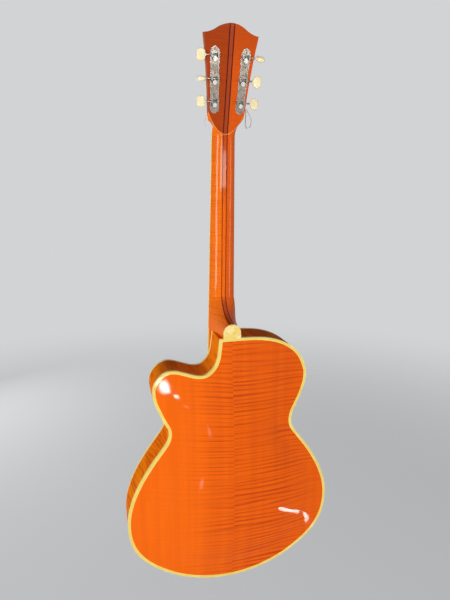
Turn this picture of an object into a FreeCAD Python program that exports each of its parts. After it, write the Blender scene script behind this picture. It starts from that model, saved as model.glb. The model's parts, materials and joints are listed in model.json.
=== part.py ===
import FreeCAD, Part
import math
import os
import re
import Sketcher

from FreeCAD import Placement, Rotation, Vector

# Driving sizes: millimetres, degrees and counts
SIZES = {
    # string length, neck and head
    "scale_length": 642,
    "joint_fret": 14,
    "fret_count": 20,
    "neck_pitch": 3,
    "head_pitch": 15.5,
    "nut_width": 42.5,
    "joint_width": 51.5,
    "board_top": 10.5,
    "board_thickness": 6,
    "board_overhang": 8,
    "board_camber": 300,
    "board_binding": 1.5,
    "nut_thickness": 5,
    "nut_rise": 2.2,
    "fret_height": 1,
    # body box
    "body_length": 508.6,
    "lower_bout": 407,
    "rim_depth": 67.2,
    "rim_setback": 6,
    "top_thickness": 5,
    "back_thickness": 4.5,
    "top_arch": 16.5,
    "back_arch": 17,
    "edge_band": 9,
    "binding_width": 2.4,
    "binding_depth": 6.5,
    "purfling_line": 0.5,
    "purfling_strip": 2.4,
    "purfling_depth": 1.2,
    "lining_width": 6,
    "lining_height": 13,
    "block_width": 76,
    "neck_block_length": 46,
    "tail_block_width": 64,
    "tail_block_length": 20,
    "tone_bar_width": 7,
    "tone_bar_height": 11,
    "tone_bar_length": 270,
    "tone_bar_spread": 74,
    "tenon_width": 20,
    "tenon_height": 42,
    "tenon_length": 17,
    "tenon_start": 6,
    "fit_gap": 0.1,
    # sound holes
    "hole_length": 150,
    "hole_spread": 196,
    "hole_slant": 8,
    "hole_eye": 10.5,
    "hole_stem": 9.8,
    # neck wood and heel
    "strip_width": 5.8,
    "veneer_thickness": 1.9,
    "neck_back_first": 9,
    "neck_back_joint": 12,
    "neck_back_nut": 9.2,
    "heel_length": 26.5,
    "heel_width": 33,
    "heel_cap_thickness": 2.5,
    "heel_fade": 92,
    "tongue_width": 50,
    "tongue_thickness": 8,
    # head
    "head_length": 178.3,
    "head_corner_height": 162.5,
    "head_corner_width": 92.2,
    "head_waist_height": 36,
    "head_waist_width": 64,
    "head_root_height": 17.5,
    "head_side_hollow": 1.9,
    "head_thickness": 15,
    "head_back": 8.1,
    "headplate_thickness": 2,
    "headplate_binding": 1.5,
    # machine heads
    "tuner_spacing": 35,
    "tuner_middle": 91,
    "tuner_offset": 24.6,
    "tuner_splay": 2.6,
    "tuner_plate_length": 103,
    "tuner_plate_shift": 2.7,
    "tuner_plate_width": 14.4,
    "tuner_plate_bulge": 15.9,
    "tuner_plate_thickness": 1,
    "post_radius": 3,
    "post_reach": 17,
    "post_hole": 1.8,
    "gear_collar": 1.3,
    "gear_thickness": 2.2,
    "gear_teeth": 14,
    "gear_radius": 4.3,
    "gear_root": 3.35,
    "worm_distance": 5.5,
    "worm_radius": 1.95,
    "worm_core": 1.1,
    "worm_length": 7,
    "worm_shaft": 1.3,
    "thread_root_width": 0.86,
    "thread_crest_width": 0.44,
    "lug_gap": 4,
    "lug_thickness": 2.4,
    "lug_width": 5.2,
    "button_reach": 24.2,
    "button_length": 14,
    "button_width": 19,
    "button_thickness": 7.4,
    "running_gap": 0.1,
    "bushing_radius": 5.2,
    "bushing_sleeve": 4.2,
    "bushing_flange": 1.2,
    "bushing_depth": 7,
    "screw_radius": 1.7,
    "screw_length": 9,
    # bridge, strings and tailpiece
    "bridge_length": 148,
    "bridge_thickness": 11,
    "bridge_base_height": 10,
    "string_action": 4.5,
    "stud_spread": 76,
    "stud_radius": 2,
    "wheel_radius": 8,
    "wheel_thickness": 3,
    "wheel_lift": 2,
    "stud_insert": 3.6,
    "saddle_travel": 1.2,
    "saddle_thickness": 9,
    "saddle_length": 140,
    "saddle_end_height": 6,
    "nut_string_spread": 35,
    "bridge_string_spread": 52,
    "string_thickest": 0.66,
    "tail_gap": 98,
    "tail_bar_length": 86,
    "tail_bar_height": 7.5,
    "tail_bar_width": 10,
    "tail_bar_lift": 33,
    "tail_rod_radius": 2.2,
    "tail_plate_width": 32,
    "tail_plate_thickness": 1.6,
    "end_pin_radius": 7.5,
    "end_pin_shank": 4.2,
    "end_pin_length": 13,
    "overrun": 5,
}
STRING_RADIUS_SHARES = [1, 0.8, 0.62, 0.48, 0.34, 0.26]
MARKED_FRETS = [3, 5, 7, 9, 15, 17, 19]

# Body outline, bass side then treble side: shares of half the lower bout and of
# the body length, with the heading of the edge in degrees
BASS_EDGE_SHARES = [
    (-0.098, 0, 180), (-0.45, -0.0195, 200), (-0.687, -0.0965, 243), (-0.735, -0.162, 270),
    (-0.672, -0.258, 294), (-0.596, -0.346, 270), (-0.694, -0.421, 232), (-0.898, -0.547, 243),
    (-1, -0.698, 270), (-0.919, -0.824, 302), (-0.742, -0.899, 323), (-0.455, -0.965, 339), (0, -1, 360)]
TREBLE_EDGE_SHARES = [
    (0.596, -0.344, 90), (0.648, -0.289, 66), (0.732, -0.178, 90), (0.7, -0.138, 124),
    (0.556, -0.1035, 180), (0.427, -0.117, 200), (0.282, -0.132, 180), (0.172, -0.104, 125),
    (0.13, -0.055, 97)]
NECK_CORNER_SHARE = 0.114

# Heel: depth from cap to board, its run up the neck and its width, as shares
HEEL_SECTION_SHARES = [
    (0, 0, 0), (0.16, 0.015, 0.03), (0.36, 0.07, 0.16), (0.54, 0.16, 0.32), (0.70, 0.30, 0.52),
    (0.82, 0.47, 0.72), (0.90, 0.66, 0.86), (0.96, 0.86, 0.95), (1, 1, 1)]

# Rounding from the neck up into the flat back of the head: height, half width
# and depth, as shares of the waist height, of the half width at the nut and of
# the depth there
HEAD_ROOT_SHARES = [(0.222, 1.012, 1.146), (0.333, 1.035, 1.423), (0.444, 1.09, 1.686),
                    (0.75, 1.435, 2.29), (1.056, 1.81, 2.88), (1.39, 2.21, 3.61)]

# Sound hole: half of its centre line from the middle to the upper eye, and half widths
STEM_SHARES = [(0, 0, 0.065), (0.035, 0.32, 0.058), (0.062, 0.62, 0.047), (0.045, 0.83, 0.036),
               (-0.03, 0.945, 0.03), (-0.125, 0.945, 0.027), (-0.185, 0.86, 0.026)]
EYE_SHARE = (-0.165, 0.78)

doc = FreeCAD.newDocument("Archtop")
sheet = doc.addObject("Spreadsheet::Sheet", "Sizes")
for row, (alias, value) in enumerate(SIZES.items(), 1):
    sheet.set(f"A{row}", alias)
    sheet.set(f"B{row}", str(value))
    sheet.setAlias(f"B{row}", alias)
doc.recompute()


class Reader:
    """Gives each size of the sheet by its alias."""

    def __getattr__(self, alias):
        return float(sheet.get(alias))


size = Reader()
nodes = {}
AXIS_X = Vector(1, 0, 0)
AXIS_Y = Vector(0, 1, 0)
AXIS_Z = Vector(0, 0, 1)
MATH_WORDS = "sqrt|tan|sin|cos"


def cells(expression):
    """Adds the sheet's name before each alias of an expression."""
    return re.sub(rf"\b(?!(?:{MATH_WORDS})\b)[a-z]\w*", r"Sizes.\g<0>", expression)


def amount(expression):
    """Value of an expression written with the sheet's aliases."""
    return float(sheet.evalExpression(cells(expression)))


def bind(thing, **expressions):
    for name, expression in expressions.items():
        thing.setExpression(name, cells(expression))
    return thing


def place(frame=None, x="0", y="0", z="0", turn=None):
    """Placement of a point given by expressions, inside a frame."""
    spot = Placement(Vector(amount(x), amount(y), amount(z)), turn or Rotation())
    return frame.multiply(spot) if frame else spot


def keep(label, thing):
    """Registers a finished sub-part under the name of its node."""
    thing.Label = label
    nodes[label] = thing
    return thing


def feature(name, shape, where=None):
    thing = doc.addObject("Part::Feature", name)
    thing.Shape = shape
    if where:
        thing.Placement = where.multiply(thing.Placement)
    return thing


def box(name, length, width, height, where):
    """Box centred on X and standing on its placement in Y and Z."""
    thing = bind(doc.addObject("Part::Box", name), Length=length, Width=width, Height=height)
    thing.Placement = where.multiply(place(x=f"-({length}) / 2"))
    return thing


def rod(name, radius, height, where):
    thing = bind(doc.addObject("Part::Cylinder", name), Radius=radius, Height=height)
    thing.Placement = where
    return thing


def group(name, things):
    thing = doc.addObject("Part::Compound", name)
    thing.Links = things
    return thing


def cut(name, base, *tools):
    thing = doc.addObject("Part::Cut", name)
    thing.Base = base
    thing.Tool = tools[0] if len(tools) == 1 else group(name + "_tools", list(tools))
    return thing


def common(name, base, tool):
    thing = doc.addObject("Part::Common", name)
    thing.Base = base
    thing.Tool = tool
    return thing


def fuse(name, *things):
    thing = doc.addObject("Part::MultiFuse", name)
    thing.Shapes = list(things)
    return thing


def extrude(name, face, length):
    """Solid from a face along +Y."""
    thing = doc.addObject("Part::Extrusion", name)
    thing.Base = feature(name + "_face", face)
    thing.DirMode = "Custom"
    thing.Dir = AXIS_Y
    thing.Solid = True
    return bind(thing, LengthFwd=length)


def new_body(name, where=None):
    thing = doc.addObject("PartDesign::Body", name)
    if where:
        thing.Placement = where
    return thing


def sketch_on(body, name, role):
    """Sketch on an origin plane of its own body."""
    sketch = body.newObject("Sketcher::SketchObject", name)
    plane = [item for item in body.Origin.OriginFeatures if item.Role == role][0]
    sketch.AttachmentSupport = [(plane, "")]
    sketch.MapMode = "FlatFace"
    return sketch


def draw_polygon(sketch, corners):
    """Closed outline whose corners are bound to expressions."""
    spots = [Vector(amount(a), amount(b), 0) for a, b in corners]
    count = len(spots)
    lines = [sketch.addGeometry(Part.LineSegment(spots[k], spots[(k + 1) % count]), False)
             for k in range(count)]
    for k in range(count):
        sketch.addConstraint(Sketcher.Constraint("Coincident", lines[k], 2, lines[(k + 1) % count], 1))
    for line, spot, corner in zip(lines, spots, corners):
        for kind, axis, length, text in (("DistanceX", -2, spot.x, corner[0]),
                                         ("DistanceY", -1, spot.y, corner[1])):
            if text == "0":
                sketch.addConstraint(Sketcher.Constraint("PointOnObject", line, 1, axis))
                continue
            number = sketch.addConstraint(Sketcher.Constraint(kind, -1, 1, line, 1, length))
            sketch.setExpression(f"Constraints[{number}]", cells(text))


def draw_circle(sketch, x, y, radius):
    """Circle with its centre and radius bound to expressions."""
    ring = sketch.addGeometry(Part.Circle(Vector(amount(x), amount(y), 0), AXIS_Z, amount(radius)), False)
    for kind, axis, text in (("DistanceX", -2, x), ("DistanceY", -1, y)):
        if text == "0":
            sketch.addConstraint(Sketcher.Constraint("PointOnObject", ring, 3, axis))
            continue
        number = sketch.addConstraint(Sketcher.Constraint(kind, -1, 1, ring, 3, amount(text)))
        sketch.setExpression(f"Constraints[{number}]", cells(text))
    number = sketch.addConstraint(Sketcher.Constraint("Radius", ring, amount(radius)))
    sketch.setExpression(f"Constraints[{number}]", cells(radius))


def padded(name, role, corners, length, where=None, reverse=False):
    """Body with one polygon padded from an origin plane."""
    body = new_body(name, where)
    sketch = sketch_on(body, name + "_outline", role)
    draw_polygon(sketch, corners)
    pad = body.newObject("PartDesign::Pad", name + "_pad")
    pad.Profile = sketch
    pad.Reversed = reverse
    bind(pad, Length=length)
    return body


def turned(name, corners, where):
    """Body turned about its own Z from a half section of radius and height."""
    body = new_body(name, where)
    sketch = sketch_on(body, name + "_section", "XZ_Plane")
    draw_polygon(sketch, corners)
    spin = body.newObject("PartDesign::Revolution", name + "_turning")
    spin.Profile = sketch
    spin.ReferenceAxis = (sketch, ["V_Axis"])
    spin.Angle = 360
    return body


def fret_place(number):
    """Distance of a fret from the nut."""
    return size.scale_length * (1 - 2 ** (-number / 12))


def run(start, end, radius):
    """Round bar between two points."""
    return Part.makeCylinder(radius, (end - start).Length, start, end - start)


# Frames and main planes
neck_frame = Placement(Vector(), Rotation(AXIS_X, -size.neck_pitch))
head_frame = Placement(Vector(), Rotation(AXIS_X, -size.head_pitch))
neck_length = fret_place(size.joint_fret)
body_top = -neck_length
body_foot = body_top - size.body_length
front_plane = -size.rim_setback
back_plane = front_plane + size.rim_depth
top_inside = front_plane + size.top_thickness
back_inside = back_plane - size.back_thickness
board_under = size.board_thickness - size.board_top
board_length = fret_place(size.fret_count) + size.board_overhang
board_taper = (size.joint_width - size.nut_width) / 2 / neck_length
rib_front = front_plane + size.binding_depth
rim_middle = (front_plane + back_plane) / 2
TURN_TO_BACK = Rotation(AXIS_X, -90)
TURN_TO_FRONT = Rotation(AXIS_X, 90)


# Body outline as tangent arcs
def heading(angle):
    return math.cos(math.radians(angle)), math.sin(math.radians(angle))


def arc_piece(start, end, angle):
    """Arc that leaves start with a heading: start, end, heading, radius and turn."""
    ahead_x, ahead_z = heading(angle)
    run_x = end[0] - start[0]
    run_z = end[1] - start[1]
    side = ahead_x * run_z - ahead_z * run_x
    along = ahead_x * run_x + ahead_z * run_z
    radius = (run_x ** 2 + run_z ** 2) / (2 * side)
    return start, end, angle, radius, 2 * math.degrees(math.atan2(side, along))


def two_arcs(start, start_angle, end, end_angle):
    """Two tangent arcs between two points with given headings."""
    first_x, first_z = heading(start_angle)
    last_x, last_z = heading(end_angle)
    run_x = end[0] - start[0]
    run_z = end[1] - start[1]
    along = run_x * (first_x + last_x) + run_z * (first_z + last_z)
    square = run_x ** 2 + run_z ** 2
    bend = 2 * (1 - first_x * last_x - first_z * last_z)
    if bend > 0:
        reach = (math.sqrt(along ** 2 + bend * square) - along) / bend
    else:
        reach = square / (2 * along)
    middle = ((start[0] + end[0] + reach * (first_x - last_x)) / 2,
              (start[1] + end[1] + reach * (first_z - last_z)) / 2)
    first = arc_piece(start, middle, start_angle)
    return [first, arc_piece(middle, end, first[2] + first[4])]


def body_rows():
    """Outline points from the bass side of the neck round to the treble side."""
    mirrored = [(-x, z, (360 - angle) % 360) for x, z, angle in reversed(BASS_EDGE_SHARES[6:-1])]
    shares = BASS_EDGE_SHARES + mirrored + TREBLE_EDGE_SHARES
    return [(x * size.lower_bout / 2, body_top + z * size.body_length, angle) for x, z, angle in shares]


def body_arcs():
    arcs = []
    rows = body_rows()
    for (x, z, angle), (next_x, next_z, next_angle) in zip(rows, rows[1:]):
        arcs += two_arcs((x, z), angle, (next_x, next_z), next_angle)
    return arcs


BODY_ARCS = body_arcs()
NECK_CORNER = (NECK_CORNER_SHARE * size.lower_bout / 2, body_top)


def arc_point(arc, share, inset):
    """Point part of the way along an arc, moved inwards."""
    start, end, angle, radius, bend = arc
    side_x, side_z = heading(angle + 90)
    out_x, out_z = heading(angle + share * bend - 90)
    return (start[0] + radius * side_x + (radius - inset) * out_x,
            start[1] + radius * side_z + (radius - inset) * out_z)


def inset_corner(inset):
    """Corner between the neck and the cutaway, moved inwards."""
    last = arc_point(BODY_ARCS[-1], 1, 0)
    run_x = NECK_CORNER[0] - last[0]
    run_z = NECK_CORNER[1] - last[1]
    length = math.hypot(run_x, run_z)
    edge_x = last[0] - inset * run_z / length
    edge_z = last[1] + inset * run_x / length
    corner_z = body_top - inset
    return edge_x + (corner_z - edge_z) * run_x / run_z, corner_z


def outline_face(inset, y):
    """Face inside the body outline at a depth."""
    spots = []
    edges = []
    for arc in BODY_ARCS:
        spots = [Vector(x, y, z) for x, z in (arc_point(arc, share, inset) for share in (0, 0.5, 1))]
        edges.append(Part.Arc(*spots).toShape())
    corner_x, corner_z = inset_corner(inset)
    corner = Vector(corner_x, y, corner_z)
    start_x, start_z = arc_point(BODY_ARCS[0], 0, inset)
    first = Vector(start_x, y, start_z)
    edges.append(Part.LineSegment(spots[2], corner).toShape())
    edges.append(Part.LineSegment(corner, first).toShape())
    return Part.Face(Part.Wire(edges))


def ring_face(outer, inner, y):
    return outline_face(outer, y).cut(outline_face(inner, y))


# Arch of the plates: a loaded membrane gives an even swell over any outline
GRID_STEPS = 72
GRID_MARGIN = 3
SWEEPS = 130
SWEEP_PULL = 1.88
FULLNESS = 0.5
grid = size.body_length / GRID_STEPS


def crossings(points, level, axis):
    """Places where a closed outline crosses a level line."""
    found = []
    for here, there in zip(points, points[1:] + points[:1]):
        if (here[axis] > level) != (there[axis] > level):
            share = (level - here[axis]) / (there[axis] - here[axis])
            found.append(here[1 - axis] + share * (there[1 - axis] - here[1 - axis]))
    return sorted(found)


def span_around(found, place_on_line):
    """Crossings on either side of a place, if it lies inside."""
    below = [value for value in found if value < place_on_line]
    if len(below) % 2 == 0:
        return None
    return below[-1], found[len(below)]


def swell_heights():
    """Grid of places and of shares of the full arch."""
    inset = size.edge_band + 2 * grid
    edge = [arc_point(arc, k / 8, inset) for arc in BODY_ARCS for k in range(8)]
    edge.append(inset_corner(inset))
    columns = int(size.lower_bout / 2 / grid) + GRID_MARGIN
    places_x = [grid * k for k in range(-columns, columns + 1)]
    places_z = [body_top - grid * k for k in range(-GRID_MARGIN, GRID_STEPS + GRID_MARGIN + 1)]
    rows = [crossings(edge, z, 1) for z in places_z]
    lines = [crossings(edge, x, 0) for x in places_x]
    inside = []
    for i, x in enumerate(places_x):
        for j, z in enumerate(places_z):
            across = span_around(rows[j], x)
            along = span_around(lines[i], z)
            if across and along:
                reach = [min(grid, gap) / grid for gap in
                         (x - across[0], across[1] - x, z - along[0], along[1] - z)]
                inside.append((i, j, [max(share, 0.02) for share in reach]))
    level = [[0.0] * len(places_z) for x in places_x]
    for sweep in range(SWEEPS):
        for i, j, (left, right, down, up) in inside:
            near = (level[i - 1][j] if left == 1 else 0, level[i + 1][j] if right == 1 else 0,
                    level[i][j + 1] if down == 1 else 0, level[i][j - 1] if up == 1 else 0)
            pull = (2 * (near[0] / left + near[1] / right) / (left + right)
                    + 2 * (near[2] / down + near[3] / up) / (down + up) + 1)
            stiff = 2 / (left * right) + 2 / (down * up)
            level[i][j] += SWEEP_PULL * (pull / stiff - level[i][j])
    peak = max(max(row) for row in level)
    heights = []
    for row in level:
        shares = [value / peak for value in row]
        full = [share / (share + FULLNESS * (1 - share)) for share in shares]
        heights.append([share ** 2 * (2 - share) for share in full])
    return places_x, places_z, heights


PLACES_X, PLACES_Z, HEIGHTS = swell_heights()


def arch_face(plane, rise):
    """Smooth surface that is flat along the edge and swells inside."""
    poles = [[Vector(x, plane + rise * share, z) for z, share in zip(PLACES_Z, column)]
             for x, column in zip(PLACES_X, HEIGHTS)]
    surface = Part.BSplineSurface()
    counts = []
    for amount_of_poles in (len(PLACES_X), len(PLACES_Z)):
        spans = amount_of_poles - 3
        counts.append(([4] + [1] * (spans - 1) + [4], list(range(spans + 1))))
    surface.buildFromPolesMultsKnots(poles, counts[0][0], counts[1][0], counts[0][1], counts[1][1],
                                     False, False, 3, 3)
    return surface.toShape()


def arch_height(x, z):
    """Share of the full arch at a place, from the nearest grid places."""
    column = (x - PLACES_X[0]) / grid
    line = (PLACES_Z[0] - z) / grid
    i = int(column)
    j = int(line)
    a = column - i
    b = line - j
    return ((1 - a) * (1 - b) * HEIGHTS[i][j] + a * (1 - b) * HEIGHTS[i + 1][j]
            + (1 - a) * b * HEIGHTS[i][j + 1] + a * b * HEIGHTS[i + 1][j + 1])


# Sound holes
def stem_points():
    """Centre line from the lower eye to the upper eye with half widths."""
    upper = STEM_SHARES
    lower = [(-x, -z, width) for x, z, width in reversed(STEM_SHARES[1:])]
    half = size.hole_length / 2
    thick = size.hole_stem / 2 / STEM_SHARES[0][2]
    return [(x * half, z * half, width * thick) for x, z, width in lower + upper]


def stem_edges(points):
    """Points on either side of the centre line."""
    sides = ([], [])
    for k, (x, z, width) in enumerate(points):
        before = points[max(k - 1, 0)]
        after = points[min(k + 1, len(points) - 1)]
        length = math.hypot(after[0] - before[0], after[1] - before[1])
        side_x = (before[1] - after[1]) / length
        side_z = (after[0] - before[0]) / length
        for edge, sign in zip(sides, (1, -1)):
            edge.append(Vector(x + sign * width * side_x, 0, z + sign * width * side_z))
    return sides


def sound_hole(name, side):
    """Cutter of one sound hole; the upper eye lies nearer the middle."""
    left, right = stem_edges(stem_points())
    depth = size.top_arch + size.top_thickness + 2 * size.overrun
    curves = []
    for points in (left, list(reversed(right))):
        curve = Part.BSplineCurve()
        curve.interpolate(points)
        curves.append(curve.toShape())
    ends = [Part.LineSegment(left[-1], right[-1]).toShape(), Part.LineSegment(right[0], left[0]).toShape()]
    stem = Part.Face(Part.Wire([curves[0], ends[0], curves[1], ends[1]])).extrude(Vector(0, depth, 0))
    half = size.hole_length / 2
    eyes = [Part.makeCylinder(size.hole_eye / 2, depth,
                              Vector(sign * EYE_SHARE[0] * half, 0, sign * EYE_SHARE[1] * half), AXIS_Y)
            for sign in (1, -1)]
    reach = 0.75 * size.hole_stem
    nick = Part.makePolygon([Vector(reach, 0, 0), Vector(0, 0, reach / 2), Vector(-reach, 0, 0),
                             Vector(0, 0, -reach / 2), Vector(reach, 0, 0)])
    shape = stem.fuse(eyes + [Part.Face(nick).extrude(Vector(0, depth, 0))])
    shape.rotate(Vector(), AXIS_Y, size.hole_slant)
    if side > 0:
        shape = shape.mirror(Vector(), AXIS_X)
    spot = Vector(side * size.hole_spread / 2, hole_start, bridge_z)
    return feature(name, shape, Placement(spot, Rotation()))


bridge_z = -size.scale_length * math.cos(math.radians(size.neck_pitch))
hole_start = front_plane - size.top_arch - size.overrun


# Plates, ribs and what stiffens them
def half_space(name, side):
    """Box that holds one side of the body."""
    return box(name, "lower_bout", "rim_depth + 4 * top_arch", "2 * body_length",
               Placement(Vector(side * size.lower_bout / 2, front_plane - 2 * size.top_arch,
                                body_foot - size.overrun), Rotation()))


channel_inset = size.binding_width + size.purfling_line + size.purfling_strip
thickness_y = Vector(0, size.top_thickness, 0)
top_face = arch_face(front_plane, -size.top_arch)
back_face = arch_face(back_plane, size.back_arch)
top_slab = feature("top_slab", top_face.extrude(thickness_y))
back_slab = feature("back_slab", back_face.extrude(Vector(0, -size.back_thickness, 0)))
top_blank = extrude("top_blank", outline_face(size.binding_width, hole_start),
                    "top_arch + top_thickness + 2 * overrun")
back_blank = extrude("back_blank", outline_face(size.binding_width, back_plane - size.back_thickness),
                     "back_arch + back_thickness + overrun")
front_channel = extrude("front_channel", ring_face(size.binding_width, channel_inset, front_plane),
                        "purfling_depth")
back_channel = extrude("back_channel",
                       ring_face(size.binding_width, channel_inset, back_plane - size.purfling_depth),
                       "purfling_depth")
keep("top_plate", cut("top_plate", common("top_carved", top_slab, top_blank), front_channel,
                      sound_hole("sound_hole_bass", -1), sound_hole("sound_hole_treble", 1)))
back_carved = cut("back_carved", common("back_shell", back_slab, back_blank), back_channel)
keep("back_bass", common("back_bass", back_carved, half_space("back_half_bass", -1)))
keep("back_treble", common("back_treble", back_carved, half_space("back_half_treble", 1)))

rib_length = "rim_depth - 2 * binding_depth"
ribs = extrude("ribs", ring_face(0, size.binding_width, rib_front), rib_length)
mortise = box("mortise", "tenon_width + 2 * fit_gap", "tenon_height + 2 * fit_gap",
              "tenon_length + fit_gap + overrun",
              place(None, "0", "tenon_start - fit_gap").multiply(
                  Placement(Vector(0, 0, body_top - size.tenon_length - size.fit_gap), Rotation())))
pin_bore = rod("pin_bore", "end_pin_shank", "tail_block_length + 3 * overrun",
               Placement(Vector(0, rim_middle, body_foot - size.overrun), Rotation()))
for side_name, side in (("bass", -1), ("treble", 1)):
    half = common(f"rib_half_{side_name}", ribs, half_space(f"rib_space_{side_name}", side))
    keep(f"rib_{side_name}", cut(f"rib_{side_name}", half, mortise, pin_bore))

block_space = extrude("block_space", outline_face(size.binding_width, top_inside),
                      "rim_depth - top_thickness - back_thickness")
neck_block_box = box("neck_block_box", "block_width", "rim_depth", "neck_block_length + overrun",
                     Placement(Vector(0, front_plane, body_top - size.neck_block_length), Rotation()))
tail_block_box = box("tail_block_box", "tail_block_width", "rim_depth", "tail_block_length + overrun",
                     Placement(Vector(0, front_plane, body_foot - size.overrun), Rotation()))
keep("neck_block", cut("neck_block", common("neck_block_raw", block_space, neck_block_box), mortise))
keep("tail_block", cut("tail_block", common("tail_block_raw", block_space, tail_block_box), pin_bore))

lining_inset = size.binding_width + size.lining_width
lining_front = extrude("lining_front", ring_face(size.binding_width, lining_inset, top_inside),
                       "lining_height")
lining_back = extrude("lining_back",
                      ring_face(size.binding_width, lining_inset, back_inside - size.lining_height),
                      "lining_height")
keep("linings", cut("linings", group("lining_rings", [lining_front, lining_back]),
                    neck_block_box, tail_block_box))

top_inner = arch_face(front_plane + size.top_thickness, -size.top_arch)
over_bars = feature("over_bars", top_inner.extrude(Vector(0, -2 * size.top_arch, 0)))
bar_blanks = [box(f"tone_bar_{name}", "tone_bar_width", "top_arch + tone_bar_height", "tone_bar_length",
                  Placement(Vector(side * size.tone_bar_spread / 2, top_inside - size.top_arch,
                                   bridge_z - size.tone_bar_length / 2), Rotation()))
              for name, side in (("bass", -1), ("treble", 1))]
keep("tone_bars", cut("tone_bars", group("tone_bar_blanks", bar_blanks), over_bars))

# Binding and purfling
keep("binding_front", extrude("binding_front", ring_face(0, size.binding_width, front_plane),
                              "binding_depth"))
keep("binding_back", extrude("binding_back",
                             ring_face(0, size.binding_width, back_plane - size.binding_depth),
                             "binding_depth"))
line_inset = size.binding_width + size.purfling_line
for label, outer, inner in (("purfling_lines", size.binding_width, line_inset),
                            ("purfling_strips", line_inset, channel_inset)):
    rings = [extrude(f"{label}_{face}", ring_face(outer, inner, start), "purfling_depth")
             for face, start in (("front", front_plane), ("back", back_plane - size.purfling_depth))]
    keep(label, group(label, rings))


# Neck: shaft, heel, tongue, tenon and head as one blank
def shaft_section(z, front, back, half_width):
    """Round-backed section of the neck in its own frame."""
    depth = back - front
    points = []
    for k in range(9):
        angle = math.pi * k / 8
        swell = abs(math.cos(angle)) ** 0.85 * (1 if k < 4 else -1)
        points.append(Vector(half_width * (swell if k != 4 else 0), front + depth * math.sin(angle), z))
    curve = Part.BSplineCurve()
    curve.interpolate(points)
    return Part.Wire([curve.toShape(), Part.LineSegment(points[-1], points[0]).toShape()])


def half_width_at(distance):
    """Half width of the fingerboard at a distance below the nut."""
    return size.nut_width / 2 + board_taper * distance


def neck_shaft():
    rows = [(-size.nut_thickness, size.neck_back_nut),
            (0, size.neck_back_nut),
            (neck_length / 14, (size.neck_back_nut + size.neck_back_first) / 2),
            (neck_length / 7, size.neck_back_first),
            (neck_length * 0.45, (size.neck_back_first + size.neck_back_joint) / 2),
            (neck_length * 0.8, size.neck_back_joint),
            (neck_length + size.overrun, size.neck_back_joint)]
    return Part.makeLoft([shaft_section(-distance, board_under, back, half_width_at(distance))
                          for distance, back in rows], True, False)


def head_root():
    """Space under the rounding that runs from the neck into the head."""
    half = half_width_at(-size.nut_thickness)
    depth = size.neck_back_nut - board_under
    sections = [shaft_section(size.nut_thickness, board_under, size.neck_back_nut, half)]
    for height, spread, swell in HEAD_ROOT_SHARES:
        sections.append(shaft_section(height * size.head_waist_height, board_under,
                                      board_under + swell * depth, spread * half))
    return Part.makeLoft(sections, True, False)


def heel_section(y, width, length, end):
    """D-shaped section of the heel in a plane parallel to the body."""
    low = body_top - size.overrun
    shoulder = body_top + length - end
    half = width / 2
    left = Vector(-half, y, low)
    right = Vector(half, y, low)
    tip = []
    for k in range(9):
        angle = math.pi * k / 8
        tip.append(Vector(half * math.cos(angle), y, shoulder + end * math.sin(angle)))
    curve = Part.BSplineCurve()
    curve.interpolate(tip)
    return Part.Wire([Part.LineSegment(right, tip[0]).toShape(), curve.toShape(),
                      Part.LineSegment(tip[-1], left).toShape(), Part.LineSegment(left, right).toShape()])


def heel_solid():
    start = back_plane - size.heel_cap_thickness
    end = -neck_length * math.tan(math.radians(size.neck_pitch)) + size.neck_back_joint - size.overrun
    sections = []
    for depth, rise, spread in HEEL_SECTION_SHARES:
        length = size.heel_length + rise * (size.heel_fade - size.heel_length)
        width = size.heel_width + spread * (size.joint_width - size.heel_width)
        tip = size.heel_width / 2 + rise * (size.heel_fade - size.heel_width) * 0.6
        sections.append(heel_section(start + depth * (end - start), width, length, tip))
    return Part.makeLoft(sections, True, False)


def head_outline(inset, y):
    """Outline of the head in its own frame."""
    corner = (size.head_corner_width / 2, size.head_corner_height)
    waist = (size.head_waist_width / 2, size.head_waist_height)
    root = size.nut_width / 2
    hollow = ((corner[0] + waist[0]) / 2 - size.head_side_hollow, (corner[1] + waist[1]) / 2)
    lean = math.degrees(math.atan2(corner[0] - waist[0], corner[1] - waist[1])) / 2
    bends = [(corner, hollow, waist)]
    arcs = two_arcs(corner, 174, (0, size.head_length), 180)
    arcs += two_arcs(waist, 270 - lean, (root, size.head_root_height), 270)
    bends += [(arc[0], arc_point(arc, 0.5, 0), arc[1]) for arc in arcs]
    edges = []
    for sign in (1, -1):
        edges += [Part.Arc(*[Vector(sign * x, y, z) for x, z in bend]).toShape() for bend in bends]
        edges.append(Part.LineSegment(Vector(sign * root, y, size.head_root_height),
                                      Vector(sign * root, y, 0)).toShape())
    edges.append(Part.LineSegment(Vector(-root, y, 0), Vector(root, y, 0)).toShape())
    face = Part.Face(Part.Wire(Part.__sortEdges__(edges)))
    if inset:
        face = face.makeOffset2D(-inset, 2)
    return face


def in_frame(frame, extrusion):
    extrusion.Base.Placement = frame
    extrusion.Dir = frame.Rotation.multVec(AXIS_Y)
    return extrusion


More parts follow.
